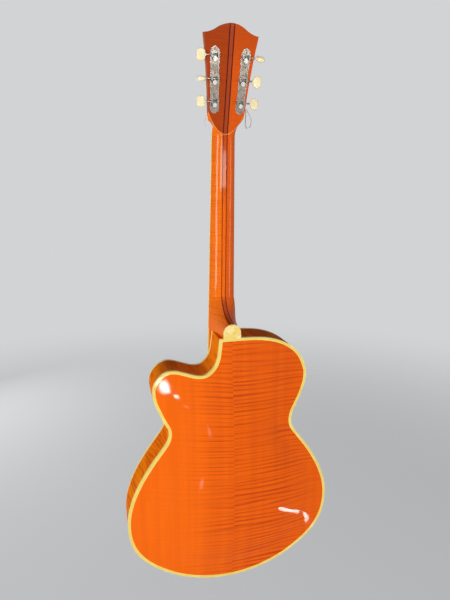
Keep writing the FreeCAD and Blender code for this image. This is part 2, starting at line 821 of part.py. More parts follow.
head_front = size.head_back - size.head_thickness
wood_front = head_front + size.headplate_thickness
shaft = feature("shaft", neck_shaft(), neck_frame)
heel = feature("heel", heel_solid())
below_joint = box("below_joint", "lower_bout", "4 * rim_depth", "neck_block_length + 20 * overrun",
                  Placement(Vector(0, front_plane - 2 * size.rim_depth,
                                   body_top - size.neck_block_length - 20 * size.overrun), Rotation()))
shaft_and_heel = cut("shaft_and_heel", fuse("shaft_heel_raw", shaft, heel), below_joint)
tongue_share = (board_length - size.board_overhang - neck_length) / size.scale_length
tongue = box("tongue", "tongue_width", "tongue_thickness", f"{tongue_share} * scale_length + overrun",
             neck_frame.multiply(Placement(Vector(0, board_under, size.board_overhang - board_length),
                                           Rotation())))
tenon = box("tenon", "tenon_width", "tenon_height", "tenon_length + overrun",
            Placement(Vector(0, size.tenon_start, body_top - size.tenon_length), Rotation()))
head_root_box = box("head_root_box", "2 * head_corner_width", "4 * head_thickness",
                    "head_waist_height * 1.28 + scale_length / 20",
                    place(neck_frame, "0", "board_thickness - board_top", "-scale_length / 20"))
head_cove = cut("head_cove", head_root_box, feature("head_root", head_root(), neck_frame))
head_block = in_frame(head_frame, extrude("head_block", head_outline(0, wood_front),
                                          "head_thickness - headplate_thickness"))
head_wood = cut("head_wood", head_block, head_cove)
over_neck = box("over_neck", "2 * head_corner_width", "8 * board_thickness",
                "scale_length + nut_thickness",
                place(neck_frame, "0", "board_thickness - board_top - 8 * board_thickness", "-scale_length"))


def plate_frame(side):
    """Frame of a tuner plate on the back of the head."""
    spot = Placement(Vector(side * size.tuner_offset, size.head_back, size.tuner_middle),
                     Rotation(AXIS_Y, side * size.tuner_splay))
    return head_frame.multiply(spot)


TUNERS = [(name, side, row) for name, side in (("bass", -1), ("treble", 1)) for row in (1, 2, 3)]


def tuner_frame(side, row):
    """Frame of one tuner: X across, Y out of the back of the head, Z along it."""
    return plate_frame(side).multiply(Placement(Vector(0, 0, (row - 2) * size.tuner_spacing), Rotation()))


post_bores = []
plate_bores = []
for name, side, row in TUNERS:
    start = tuner_frame(side, row).multiply(
        place(y="-head_thickness - overrun", turn=TURN_TO_BACK))
    post_bores.append(rod(f"post_bore_{name}_{row}", "post_radius + 3 * running_gap",
                          "head_thickness + 2 * overrun", start))
    sleeve = tuner_frame(side, row).multiply(
        place(y="bushing_depth - head_thickness", turn=TURN_TO_FRONT))
    plate_bores.append(rod(f"sleeve_bore_{name}_{row}", "bushing_sleeve", "bushing_depth + overrun", sleeve))
SCREW_SPOTS = ["-tuner_spacing - 1.5 * lug_width", "-tuner_spacing + 2.75 * lug_width",
               "2.75 * lug_width", "tuner_spacing + 2.7 * lug_width"]


def screw_frames():
    """Seats of the small screws on both tuner plates."""
    return [(f"{name}_{k}", plate_frame(side).multiply(place(y="tuner_plate_thickness", z=spot,
                                                             turn=TURN_TO_BACK)))
            for name, side in (("bass", -1), ("treble", 1)) for k, spot in enumerate(SCREW_SPOTS)]


pilot_bores = [rod(f"pilot_bore_{name}", "screw_radius / 2 + running_gap / 2",
                   "tuner_plate_thickness + screw_length + overrun",
                   frame.multiply(place(z="-tuner_plate_thickness - screw_length")))
               for name, frame in screw_frames()]
head_bores = group("head_bores", post_bores + plate_bores + pilot_bores)
blank = cut("neck_blank", fuse("neck_raw", shaft_and_heel, tongue, tenon, head_wood), over_neck, head_bores)


def slice_box(name, width, offset):
    return box(name, width, "4 * rim_depth", "scale_length + 2 * head_length",
               Placement(Vector(offset, front_plane - 2 * size.rim_depth, -size.scale_length), Rotation()))


veneer_offset = (size.strip_width + size.veneer_thickness) / 2
keep("neck_centre_strip", common("neck_centre_strip", blank, slice_box("strip_slice", "strip_width", 0)))
keep("neck_veneers", common("neck_veneers", blank,
                            group("veneer_slices", [slice_box(f"veneer_slice_{name}", "veneer_thickness",
                                                              side * veneer_offset)
                                                    for name, side in (("bass", -1), ("treble", 1))])))
keep("neck_wings", cut("neck_wings", blank,
                       slice_box("inner_slice", "strip_width + 2 * veneer_thickness", 0)))


def heel_cap():
    """Cap on the heel: straight sides and a half round end."""
    y = back_plane - size.heel_cap_thickness
    half = size.heel_width / 2
    shoulder = body_top + size.heel_length - half
    low_left, low_right = Vector(-half, y, body_top), Vector(half, y, body_top)
    left, right = Vector(-half, y, shoulder), Vector(half, y, shoulder)
    edges = [Part.LineSegment(low_right, right).toShape(),
             Part.Arc(right, Vector(0, y, shoulder + half), left).toShape(),
             Part.LineSegment(left, low_left).toShape(), Part.LineSegment(low_left, low_right).toShape()]
    return extrude("heel_cap", Part.Face(Part.Wire(edges)), "heel_cap_thickness")


keep("heel_cap", heel_cap())

# Fingerboard, its binding, frets and markers, in the frame of the neck
camber = rod("camber", "board_camber", "2 * scale_length",
             place(neck_frame, "0", "board_camber - board_top", "-scale_length"))


def board_blank(name, inset):
    """Tapered plank under the frets, narrowed by an inset."""
    nut_half = f"(nut_width / 2 - {inset})"
    far = f"{board_length / neck_length} * (joint_width - nut_width) / 2"
    length = f"-{board_length / size.scale_length} * scale_length"
    corners = [(nut_half, "0"), (f"-{nut_half}", "0"), (f"-{nut_half} - {far}", length),
               (f"{nut_half} + {far}", length)]
    return padded(name, "XZ_Plane", corners, "2 * board_thickness", place(neck_frame, "0",
                  "board_thickness - board_top"))


board_full = common("board_full", board_blank("board_plank", "0"), camber)
board_inner = board_blank("board_inner", "board_binding")


def fret_shape(number):
    """Crowned wire with its tang, bent to the camber of the board."""
    crown = size.board_binding * 0.75
    height = size.fret_height
    tang = crown / 4
    z = -fret_place(number)
    top = -size.board_top
    spots = [Vector(0, top, z - crown), Vector(0, top - height, z), Vector(0, top, z + crown)]
    foot = [Vector(0, top, z + tang), Vector(0, top + 2 * height, z + tang),
            Vector(0, top + 2 * height, z - tang), Vector(0, top, z - tang)]
    chain = [spots[2]] + foot + [spots[0]]
    edges = [Part.Arc(*spots).toShape()]
    edges += [Part.LineSegment(a, b).toShape() for a, b in zip(chain, chain[1:])]
    half = math.degrees(math.asin((half_width_at(-z) - size.board_binding) / size.board_camber))
    centre = Vector(0, size.board_camber - size.board_top, 0)
    section = Part.Face(Part.Wire(edges))
    section.rotate(centre, AXIS_Z, -half)
    return section.revolve(centre, AXIS_Z, 2 * half)


fret_wires = feature("frets", Part.makeCompound([fret_shape(k) for k in range(1, int(size.fret_count) + 1)]),
                     neck_frame)
keep("frets", fret_wires)


def marker_cutters():
    """Round markers between frets, two of them at the octave."""
    spots = [(0, fret) for fret in MARKED_FRETS] + [(side * half_width_at(0) / 2, 12) for side in (-1, 1)]
    cutters = []
    for k, (x, fret) in enumerate(spots):
        z = -(fret_place(fret) + fret_place(fret - 1)) / 2
        cutters.append(rod(f"marker_cutter_{k}", "board_thickness / 2", "board_thickness",
                           neck_frame.multiply(Placement(Vector(x, size.purfling_depth - size.board_top, z),
                                                         TURN_TO_FRONT))))
    return group("marker_cutters", cutters)


markers = marker_cutters()
keep("position_markers", common("position_markers", markers, board_full))
keep("fingerboard", cut("fingerboard", common("board_wood", board_full, board_inner), fret_wires, markers))
board_edges = cut("board_edges", board_full, board_inner)

# Head front: plate, its edge binding, bushings
above_nut = box("above_nut", "2 * head_corner_width", "4 * head_thickness", "2 * head_length",
                place(neck_frame, "0", "-2 * head_thickness", "nut_thickness"))
plate_raw = in_frame(head_frame, extrude("plate_raw", head_outline(size.headplate_binding, head_front),
                                         "headplate_thickness"))
rim_raw = in_frame(head_frame, extrude("rim_raw", head_outline(0, head_front).cut(
    head_outline(size.headplate_binding, head_front)), "headplate_thickness"))
keep("headplate", cut("headplate", common("plate_above_nut", plate_raw, above_nut), head_bores))
keep("neck_binding", group("neck_binding", [board_edges, common("rim_above_nut", rim_raw, above_nut)]))

bushings = []
for name, side, row in TUNERS:
    where = tuner_frame(side, row).multiply(place(y="-head_thickness", turn=TURN_TO_FRONT))
    bushings.append(turned(f"bushing_{name}_{row}",
                           [("post_radius + running_gap", "-bushing_depth"),
                            ("bushing_sleeve", "-bushing_depth"), ("bushing_sleeve", "0"),
                            ("bushing_radius", "0"), ("bushing_radius", "bushing_flange / 2"),
                            ("bushing_sleeve", "bushing_flange"),
                            ("post_radius + running_gap", "bushing_flange")], where))
keep("post_bushings", group("post_bushings", bushings))


# Machine heads
def plate_outline():
    """Corners of the tuner plate, widened at each gear, with pointed ends."""
    narrow = "tuner_plate_width / 2"
    wide = "tuner_plate_bulge / 2"
    high = "(tuner_plate_length / 2 + tuner_plate_shift)"
    low = "(tuner_plate_shift - tuner_plate_length / 2)"
    edge = [("0", high), (narrow + " * 0.8", high + " - 0.8 * lug_width"),
            (wide, high + " - 1.8 * lug_width")]
    for row in (1, 0, -1):
        middle = f"{row} * tuner_spacing"
        if row < 1:
            edge.append((narrow, middle + " + 2.2 * lug_width"))
            edge.append((wide, middle + " + 1.7 * lug_width"))
        if row > -1:
            edge.append((wide, middle + " - lug_width"))
            edge.append((narrow, middle + " - 1.5 * lug_width"))
    edge.append((wide, low + " + 1.5 * lug_width"))
    edge.append((narrow + " * 0.75", low + " + 0.5 * lug_width"))
    edge.append(("0", low))
    mirrored = [(f"-({x})", z) for x, z in reversed(edge[1:-1])]
    return edge + mirrored


def lug(name, frame, inner_side):
    """Bearing block of a worm shaft."""
    where = frame.multiply(place(x=f"{inner_side} * (lug_gap + lug_thickness / 2)",
                                 y="tuner_plate_thickness", z="worm_distance - lug_width / 2"))
    return box(name, "lug_thickness", "2 * (gear_collar + gear_thickness / 2)", "lug_width", where)


def tuner_plate(name, side):
    where = plate_frame(side)
    plate = padded(f"strip_{name}", "XZ_Plane", plate_outline(), "tuner_plate_thickness", where, True)
    solids = [plate]
    bores = []
    for row in (1, 2, 3):
        frame = tuner_frame(side, row)
        for word, sign in (("left", -1), ("right", 1)):
            solids.append(lug(f"lug_{name}_{row}_{word}", frame, sign))
        bores.append(rod(f"shaft_bore_{name}_{row}", "worm_shaft + running_gap", "4 * lug_gap",
                         frame.multiply(place(x="-2 * lug_gap", y=GEAR_MIDDLE, z="worm_distance",
                                              turn=Rotation(AXIS_Y, 90)))))
        bores.append(rod(f"post_clear_{name}_{row}", "post_radius + running_gap", "4 * tuner_plate_thickness",
                         frame.multiply(place(y="-tuner_plate_thickness", turn=TURN_TO_BACK))))
    bores += pilot_bores
    return cut(f"tuner_plate_{name}", fuse(f"tuner_plate_{name}_raw", *solids), *bores)


GEAR_MIDDLE = "tuner_plate_thickness + gear_collar + gear_thickness / 2"
gear_middle = amount(GEAR_MIDDLE)
thread_lead = math.pi * (size.gear_radius + size.gear_root) / size.gear_teeth
lead_angle = math.degrees(math.atan2(thread_lead, math.pi * (size.worm_radius + size.worm_core)))
for side_name, side in (("bass", -1), ("treble", 1)):
    keep(f"tuner_plate_{side_name}", tuner_plate(side_name, side))


def post(name, frame):
    """String post from the gear through the head to its tip."""
    tip = "(head_thickness + post_reach)"
    corners = [("0", "tuner_plate_thickness + gear_collar + gear_thickness"),
               ("worm_core * 1.5", "tuner_plate_thickness + gear_collar + gear_thickness"),
               ("worm_core * 1.5", "tuner_plate_thickness + gear_collar"),
               ("post_radius", "tuner_plate_thickness + gear_collar"),
               ("post_radius", f"7 * post_hole - {tip}"), ("post_radius * 0.8", f"6 * post_hole - {tip}"),
               ("post_radius * 0.8", f"2.6 * post_hole - {tip}"), ("post_radius", f"1.6 * post_hole - {tip}"),
               ("post_radius", f"0.3 * post_hole - {tip}"), ("post_radius * 0.85", f"-{tip}"),
               ("0", f"-{tip}")]
    body = turned(f"post_body_{name}", corners, frame.multiply(place(turn=TURN_TO_BACK)))
    hole = rod(f"string_hole_{name}", "post_hole / 2", "4 * post_radius",
               frame.multiply(place(x="-2 * post_radius", y=f"4.3 * post_hole - {tip}",
                                    turn=Rotation(AXIS_Y, 90))))
    return cut(f"tuner_post_{name}", body, hole)


def gear(name, frame, hand):
    """Worm wheel with slanted gaps between its teeth, and its slotted screw."""
    low = gear_middle - size.gear_thickness / 2
    disc = Part.makeCylinder(size.gear_radius, size.gear_thickness, Vector(0, low, 0), AXIS_Y)
    gap_angle = 360 / size.gear_teeth
    mean = (size.gear_radius + size.gear_root) / 2
    tooth = size.thread_root_width * 0.84
    outer = thread_lead * size.gear_radius / mean - 0.55 * tooth
    inner = thread_lead * size.gear_root / mean - 1.15 * tooth
    reach = 2 * size.gear_thickness
    far = 2 * size.gear_radius - size.gear_root
    growth = (outer - inner) / (size.gear_radius - size.gear_root)
    widest = inner + growth * (far - size.gear_root)
    profile = Part.makePolygon([Vector(-inner / 2, 0, size.gear_root), Vector(inner / 2, 0, size.gear_root),
                                Vector(widest / 2, 0, far), Vector(-widest / 2, 0, far),
                                Vector(-inner / 2, 0, size.gear_root)])
    notch = Part.Face(profile).extrude(Vector(0, reach, 0))
    notch.translate(Vector(0, gear_middle - reach / 2, 0))
    notch.rotate(Vector(0, gear_middle, 0), AXIS_Z, -hand * lead_angle)
    notches = []
    for k in range(int(size.gear_teeth)):
        copy = notch.copy()
        copy.rotate(Vector(), AXIS_Y, (k + 0.5) * gap_angle)
        notches.append(copy)
    bore = Part.makeCylinder(size.worm_core * 1.5, 2 * size.gear_thickness,
                             Vector(0, gear_middle - size.gear_thickness, 0), AXIS_Y)
    wheel = disc.cut(notches + [bore])
    head_radius = 0.62 * size.gear_radius
    head_height = 0.45 * size.gear_thickness
    high = gear_middle + size.gear_thickness / 2
    screw = Part.makeCylinder(head_radius, head_height, Vector(0, high, 0), AXIS_Y)
    slot_width = head_radius / 4
    slot = Part.makeBox(4 * head_radius, head_height, slot_width,
                        Vector(-2 * head_radius, high + head_height / 2, -slot_width / 2))
    return feature(f"tuner_gear_{name}", Part.makeCompound([wheel, screw.cut(slot)]), frame)


def worm(name, frame, side):
    """Worm shaft: thread between the lugs, collars outside them, end in the button."""
    inner = size.lug_gap + size.lug_thickness + size.running_gap
    collar_width = 0.8 * size.worm_core
    shoulder = size.lug_gap - size.running_gap
    tip = size.button_reach + size.button_length / 4
    pieces = [Part.makeCylinder(size.worm_core, 2 * shoulder, Vector(-side * shoulder, 0, 0),
                                Vector(side, 0, 0)),
              Part.makeCylinder(size.worm_shaft, inner + collar_width - shoulder,
                                Vector(-side * shoulder, 0, 0), Vector(-side, 0, 0)),
              Part.makeCylinder(size.worm_shaft, tip - shoulder, Vector(side * shoulder, 0, 0),
                                Vector(side, 0, 0))]
    for sign in (1, -1):
        pieces.append(Part.makeCylinder(size.worm_radius, collar_width, Vector(sign * inner, 0, 0),
                                        Vector(sign, 0, 0)))
    helix = Part.makeHelix(thread_lead, size.worm_length, size.worm_core, 0, side < 0)
    deep = size.worm_core * 0.9
    section = Part.makePolygon([Vector(deep, 0, -size.thread_root_width / 2),
                                Vector(size.worm_radius, 0, -size.thread_crest_width / 2),
                                Vector(size.worm_radius, 0, size.thread_crest_width / 2),
                                Vector(deep, 0, size.thread_root_width / 2),
                                Vector(deep, 0, -size.thread_root_width / 2)])
    thread = Part.Wire(helix).makePipeShell([section], True, True)
    thread.translate(Vector(0, 0, -size.worm_length / 2))
    thread.rotate(Vector(), AXIS_Y, 90)
    thread.rotate(Vector(), AXIS_X, -side * 360 * (size.worm_length / 2 / thread_lead + 0.5))
    solid = pieces[0].fuse(pieces[1:] + [thread])
    solid.translate(Vector(0, gear_middle, size.worm_distance))
    return feature(f"worm_shaft_{name}", solid, frame)


BUTTON_ROLLS = {"bass_3": 80, "bass_2": 8, "bass_1": 22, "treble_3": -4, "treble_2": 88, "treble_1": 12}


def button(name, frame, side):
    """Rounded button with a collar, flat on two sides, on the end of the worm shaft."""
    spot = Vector(side * size.button_reach, gear_middle, size.worm_distance)
    centre = frame.multiply(Placement(spot, Rotation(AXIS_X, BUTTON_ROLLS[name])))
    length, width, thick = size.button_length, size.button_width, size.button_thickness
    block = Part.makeBox(length, thick, width, Vector(-length / 2, -thick / 2, -width / 2))
    upright = [edge for edge in block.Edges if abs(edge.tangentAt(0).y) > 0.9]
    block = block.makeFillet(0.4 * length, upright)
    rims = [edge for edge in block.Edges if abs(edge.tangentAt(edge.FirstParameter).y) < 0.1]
    block = block.makeFillet(0.36 * thick, rims)
    neck = Part.makeCone(0.3 * thick, 0.42 * thick, 0.2 * length, Vector(-side * 0.62 * length, 0, 0),
                         Vector(side, 0, 0))
    socket = Part.makeCylinder(size.worm_shaft + size.running_gap / 5, length,
                               Vector(-side * 0.75 * length, 0, 0), Vector(side, 0, 0))
    return feature(f"button_{name}", block.fuse(neck).cut(socket), centre)


for side_name, side, row in TUNERS:
    name = f"{side_name}_{row}"
    frame = tuner_frame(side, row)
    keep(f"tuner_post_{name}", post(name, frame))
    keep(f"tuner_gear_{name}", gear(name, frame, side))
    keep(f"worm_shaft_{name}", worm(name, frame, side))
    keep(f"button_{name}", button(name, frame, side))

screws = [turned(f"plate_screw_{name}",
                 [("0", "-tuner_plate_thickness - screw_length"),
                  ("screw_radius / 2", "-tuner_plate_thickness - screw_length * 0.8"),
                  ("screw_radius / 2", "0"), ("screw_radius", "0"),
                  ("screw_radius * 0.8", "screw_radius / 2"), ("0", "screw_radius * 0.7")], frame)
          for name, frame in screw_frames()]
keep("plate_screws", group("plate_screws", screws))


# Strings, nut and bridge
def string_x(spread, number):
    """Place of a string across, from the thickest on the bass side."""
    return spread * ((number - 1) / 5 - 0.5)


def string_radius(number):
    return STRING_RADIUS_SHARES[number - 1] * size.string_thickest


def camber_drop(x):
    return size.board_camber - math.sqrt(size.board_camber ** 2 - x ** 2)


saddle_y = -size.board_top - size.string_action - size.scale_length * math.tan(math.radians(size.neck_pitch))
tail_z = bridge_z - size.tail_gap
tail_y = -size.tail_bar_lift
ball_radius = size.tail_bar_height / 4


def string_points(number):
    """Route of a string: ball, tail bar, saddle, nut and post."""
    bridge_x = string_x(size.bridge_string_spread, number)
    nut_x = string_x(size.nut_string_spread, number)
    saddle = Vector(bridge_x, saddle_y + camber_drop(bridge_x), bridge_z)
    tail = Vector(bridge_x, tail_y, tail_z - size.tail_bar_width / 2 - ball_radius)
    nut = neck_frame.multVec(Vector(nut_x, -size.board_top - size.nut_rise + camber_drop(nut_x),
                                    size.nut_thickness / 2))
    side = -1 if number <= 3 else 1
    row = number if number <= 3 else 7 - number
    hole = -size.head_thickness - size.post_reach + 4.3 * size.post_hole
    reach = -side * (size.post_radius * 0.8 + string_radius(number) + size.running_gap)
    end = tuner_frame(side, row).multVec(Vector(reach, hole, 0))
    return [tail, saddle, nut, end]


def string_solid(number, extra, ball=True):
    """Wire through its points; extra widens it to cut its grooves."""
    points = string_points(number)
    radius = string_radius(number) + extra
    pieces = [run(a, b, radius) for a, b in zip(points, points[1:])]
    if ball:
        pieces.append(Part.makeCylinder(ball_radius, ball_radius * 2, points[0] - Vector(0, ball_radius, 0),
                                        AXIS_Y))
    return pieces[0].fuse(pieces[1:])


strings = Part.makeCompound([string_solid(k, 0) for k in range(1, 7)])
keep("strings", feature("strings", strings))
grooves = feature("string_grooves", Part.makeCompound([string_solid(k, size.fit_gap / 2, False)
                                                       for k in range(1, 7)]))

nut_block = box("nut_block", "nut_width", "board_thickness + 2 * nut_rise", "nut_thickness",
                place(neck_frame, "0", "-board_top - 2 * nut_rise"))
nut_camber = rod("nut_camber", "board_camber + nut_rise", "4 * nut_thickness",
                 place(neck_frame, "0", "board_camber - board_top", "-nut_thickness"))
keep("nut", cut("nut", common("nut_raw", nut_block, nut_camber), grooves))

crown_y = front_plane - size.top_arch * arch_height(0, bridge_z)
base_top = crown_y - size.bridge_base_height
wheel_y = base_top - size.wheel_lift
saddle_under = wheel_y - size.wheel_thickness - size.fit_gap / 2


def slanted_block(name, corners, thickness):
    """Block with a side view given in X and Y, centred on the bridge line."""
    spots = [Vector(x, y, bridge_z - thickness / 2) for x, y in corners]
    face = Part.Face(Part.makePolygon(spots + spots[:1]))
    return feature(name, face.extrude(Vector(0, 0, thickness)))


def mirror_corners(half):
    return half + [(-x, y) for x, y in reversed(half)]


foot = size.bridge_length / 2
base_profile = mirror_corners([(foot, crown_y + size.bridge_base_height),
                               (foot, crown_y - size.bridge_base_height * 0.25),
                               (foot * 0.72, base_top), (foot * 0.15, base_top)])
under_bridge = feature("under_bridge", top_face.extrude(Vector(0, 3 * size.bridge_base_height, 0)))
arch_relief = box("foot_gap", "bridge_length * 0.42", "2 * bridge_base_height", "2 * bridge_thickness",
                  Placement(Vector(0, crown_y - size.bridge_base_height * 0.32,
                                   bridge_z - size.bridge_thickness), Rotation()))
keep("bridge_base", cut("bridge_base", slanted_block("base_block", base_profile, size.bridge_thickness),
                        under_bridge, arch_relief))

studs = []
wheels = {}
stud_bores = []
for side_name, side in (("bass", -1), ("treble", 1)):
    start = Placement(Vector(side * size.stud_spread / 2, base_top, bridge_z), TURN_TO_FRONT)
    studs.append(rod(f"stud_{side_name}", "stud_radius",
                     "wheel_lift + wheel_thickness + fit_gap / 2 + stud_insert", start))
    stud_bores.append(rod(f"stud_bore_{side_name}", "stud_radius + fit_gap",
                          "wheel_lift + wheel_thickness + stud_insert + 1.5 * saddle_travel", start))
    where = Placement(Vector(side * size.stud_spread / 2, wheel_y, bridge_z), TURN_TO_FRONT)
    body = new_body(f"wheel_{side_name}", where)
    sketch = sketch_on(body, f"wheel_outline_{side_name}", "XY_Plane")
    draw_circle(sketch, "0", "0", "wheel_radius")
    draw_circle(sketch, "0", "0", "stud_radius + fit_gap / 2")
    pad = body.newObject("PartDesign::Pad", f"wheel_pad_{side_name}")
    pad.Profile = sketch
    bind(pad, Length="wheel_thickness")
    notch = sketch_on(body, f"notch_outline_{side_name}", "XY_Plane")
    draw_circle(notch, "wheel_radius + wheel_thickness / 8", "0", "wheel_thickness / 4")
    pocket = body.newObject("PartDesign::Pocket", f"notch_{side_name}")
    pocket.Profile = notch
    pocket.Type = 1
    pocket.Reversed = True
    pattern = body.newObject("PartDesign::PolarPattern", f"notches_{side_name}")
    pattern.Originals = [pocket]
    pattern.Axis = (notch, ["N_Axis"])
    pattern.Angle = 360
    pattern.Occurrences = 24
    body.Tip = pattern
    keep(f"thumbwheel_{side_name}", body)
keep("bridge_posts", group("bridge_posts", studs))

half_saddle = size.saddle_length / 2
crown = [(x, saddle_y + camber_drop(x)) for x in (0.45 * half_saddle, 0.22 * half_saddle)]
saddle_end = [(half_saddle * 0.7, saddle_under), (half_saddle, saddle_under - size.saddle_end_height * 0.5),
              (half_saddle * 0.97, saddle_under - size.saddle_end_height),
              (half_saddle * 0.62, saddle_y + size.saddle_end_height * 0.8)]
saddle_block = slanted_block("saddle_block", mirror_corners(saddle_end + crown), size.saddle_thickness)
keep("bridge_saddle", cut("bridge_saddle", saddle_block, group("stud_bores", stud_bores), grooves))


# Tailpiece and end pin
def tailpiece():
    """Bar for the strings on two rods that spring from a plate on the tail."""
    half_bar = size.tail_bar_length / 2
    bar = Part.makeBox(size.tail_bar_length, size.tail_bar_height, size.tail_bar_width,
                       Vector(-half_bar, tail_y - size.tail_bar_height / 2, tail_z - size.tail_bar_width / 2))
    plate_front = front_plane - 2 * size.tail_rod_radius - size.fit_gap
    plate_depth = rim_middle + size.end_pin_radius + size.overrun - plate_front
    plate = Part.makeBox(size.tail_plate_width, plate_depth, size.tail_plate_thickness,
                         Vector(-size.tail_plate_width / 2, plate_front,
                                body_foot - size.tail_plate_thickness))
    pieces = [plate]
    for side in (-1, 1):
        low = Vector(side * (size.tail_plate_width / 2 - size.tail_rod_radius),
                     plate_front + size.tail_rod_radius, body_foot - size.tail_plate_thickness)
        high = Vector(side * (half_bar - 2 * size.tail_rod_radius), tail_y, tail_z)
        pieces.append(run(low, high, size.tail_rod_radius))
    bore = Part.makeCylinder(size.end_pin_shank, 4 * size.overrun,
                             Vector(0, rim_middle, body_foot - 2 * size.overrun), AXIS_Z)
    slots = [string_solid(k, size.fit_gap, False) for k in range(1, 7)]
    return bar.fuse(pieces).cut(slots + [bore])


keep("tailpiece", feature("tailpiece", tailpiece()))
keep("end_pin", turned("end_pin", [("0", "tail_block_length"), ("end_pin_shank", "tail_block_length"),
                                   ("end_pin_shank", "-tail_plate_thickness"),
                                   ("end_pin_radius * 0.9", "-tail_plate_thickness"),
                                   ("end_pin_radius * 0.9", "-tail_plate_thickness - end_pin_length * 0.15"),
                                   ("end_pin_radius * 0.55", "-tail_plate_thickness - end_pin_length * 0.35"),
                                   ("end_pin_radius * 0.55", "-tail_plate_thickness - end_pin_length * 0.55"),
                                   ("end_pin_radius", "-tail_plate_thickness - end_pin_length * 0.75"),
                                   ("end_pin_radius", "-tail_plate_thickness - end_pin_length * 0.9"),
                                   ("end_pin_radius * 0.8", "-tail_plate_thickness - end_pin_length"),
                                   ("0", "-tail_plate_thickness - end_pin_length")],
                       Placement(Vector(0, rim_middle, body_foot), Rotation())))

# Checks, then one file per sub-part
doc.recompute()
faults = []
for thing in doc.Objects:
    if {"Invalid", "Error"} & set(thing.State):
        faults.append(f"{thing.Name} {thing.State}")
for label, thing in nodes.items():
    if thing.Shape.isNull() or not thing.Shape.isValid() or not thing.Shape.Solids:
        faults.append(f"{label} has no valid shape")
if faults:
    raise RuntimeError("; ".join(faults))
os.makedirs("parts", exist_ok=True)
for label, thing in nodes.items():
    thing.Shape.exportStep(os.path.join("parts", label + ".step"))
print(len(nodes), "sub-parts")
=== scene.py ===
import json
import math

import bpy
from mathutils import Matrix, Vector


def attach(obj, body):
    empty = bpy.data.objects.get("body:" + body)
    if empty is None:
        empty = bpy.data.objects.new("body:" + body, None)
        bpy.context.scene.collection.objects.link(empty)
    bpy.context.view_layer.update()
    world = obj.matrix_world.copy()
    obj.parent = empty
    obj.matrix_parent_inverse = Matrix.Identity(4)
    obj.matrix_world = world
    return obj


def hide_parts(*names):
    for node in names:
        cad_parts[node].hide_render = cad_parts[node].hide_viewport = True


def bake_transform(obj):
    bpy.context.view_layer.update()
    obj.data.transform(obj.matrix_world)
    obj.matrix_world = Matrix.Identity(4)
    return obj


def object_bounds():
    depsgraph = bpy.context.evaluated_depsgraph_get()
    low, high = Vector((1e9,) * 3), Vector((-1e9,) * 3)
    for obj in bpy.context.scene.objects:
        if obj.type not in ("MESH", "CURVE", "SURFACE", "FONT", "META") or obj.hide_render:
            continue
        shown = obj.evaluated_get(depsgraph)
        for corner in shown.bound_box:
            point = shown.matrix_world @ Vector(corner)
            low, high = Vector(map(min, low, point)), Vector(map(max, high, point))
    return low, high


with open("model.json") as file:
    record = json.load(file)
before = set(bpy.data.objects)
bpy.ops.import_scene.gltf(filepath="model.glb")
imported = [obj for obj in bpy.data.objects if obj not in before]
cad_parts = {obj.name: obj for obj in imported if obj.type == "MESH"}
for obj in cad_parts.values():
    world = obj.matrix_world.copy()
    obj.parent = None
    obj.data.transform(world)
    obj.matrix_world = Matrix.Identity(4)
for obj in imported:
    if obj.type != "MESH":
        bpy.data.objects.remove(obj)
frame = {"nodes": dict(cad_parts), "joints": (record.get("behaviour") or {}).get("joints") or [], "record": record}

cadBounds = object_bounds()
nodes = frame["nodes"]
joints = {joint["name"]: joint for joint in frame["joints"]}
scene = bpy.context.scene
print("frame loaded:", len(nodes), "nodes")


def tone(red, green, blue):
    # a colour as a paint program shows it, from 0 to 255, turned into linear light
    return tuple((part / 255 / 12.92) if part < 11 else ((part / 255 + 0.055) / 1.055) ** 2.4
                 for part in (red, green, blue))


# Camera, world and floor, in metres and degrees
studio = {
    "cameraPlace": (0.2204, 0.8307, -0.1113),
    "cameraTurn": (77.86, 0, 165),
    "lens": 27.28,
    "sensorWidth": 36,
    "viewReach": 40,
    "backdrop": tone(210, 211, 213),
    "airHigh": tone(70, 72, 76),    # light from above
    "airLow": tone(176, 176, 178),  # light from below
    "airBand": (-0.6, 0.8),         # where the one turns into the other
    "floorTone": tone(210, 211, 213),
    "floorRough": 0.9,
    "floorGloss": 0.1,
    "floorRadius": 9,
    "floorSides": 96,
    "floorDrop": 0.5,               # below the lowest point of the object
    "floorGlow": 0.55,              # share of the backdrop that the camera sees in the floor
    "floorFade": (1.2, 4),          # distances between which the floor melts into the backdrop
}

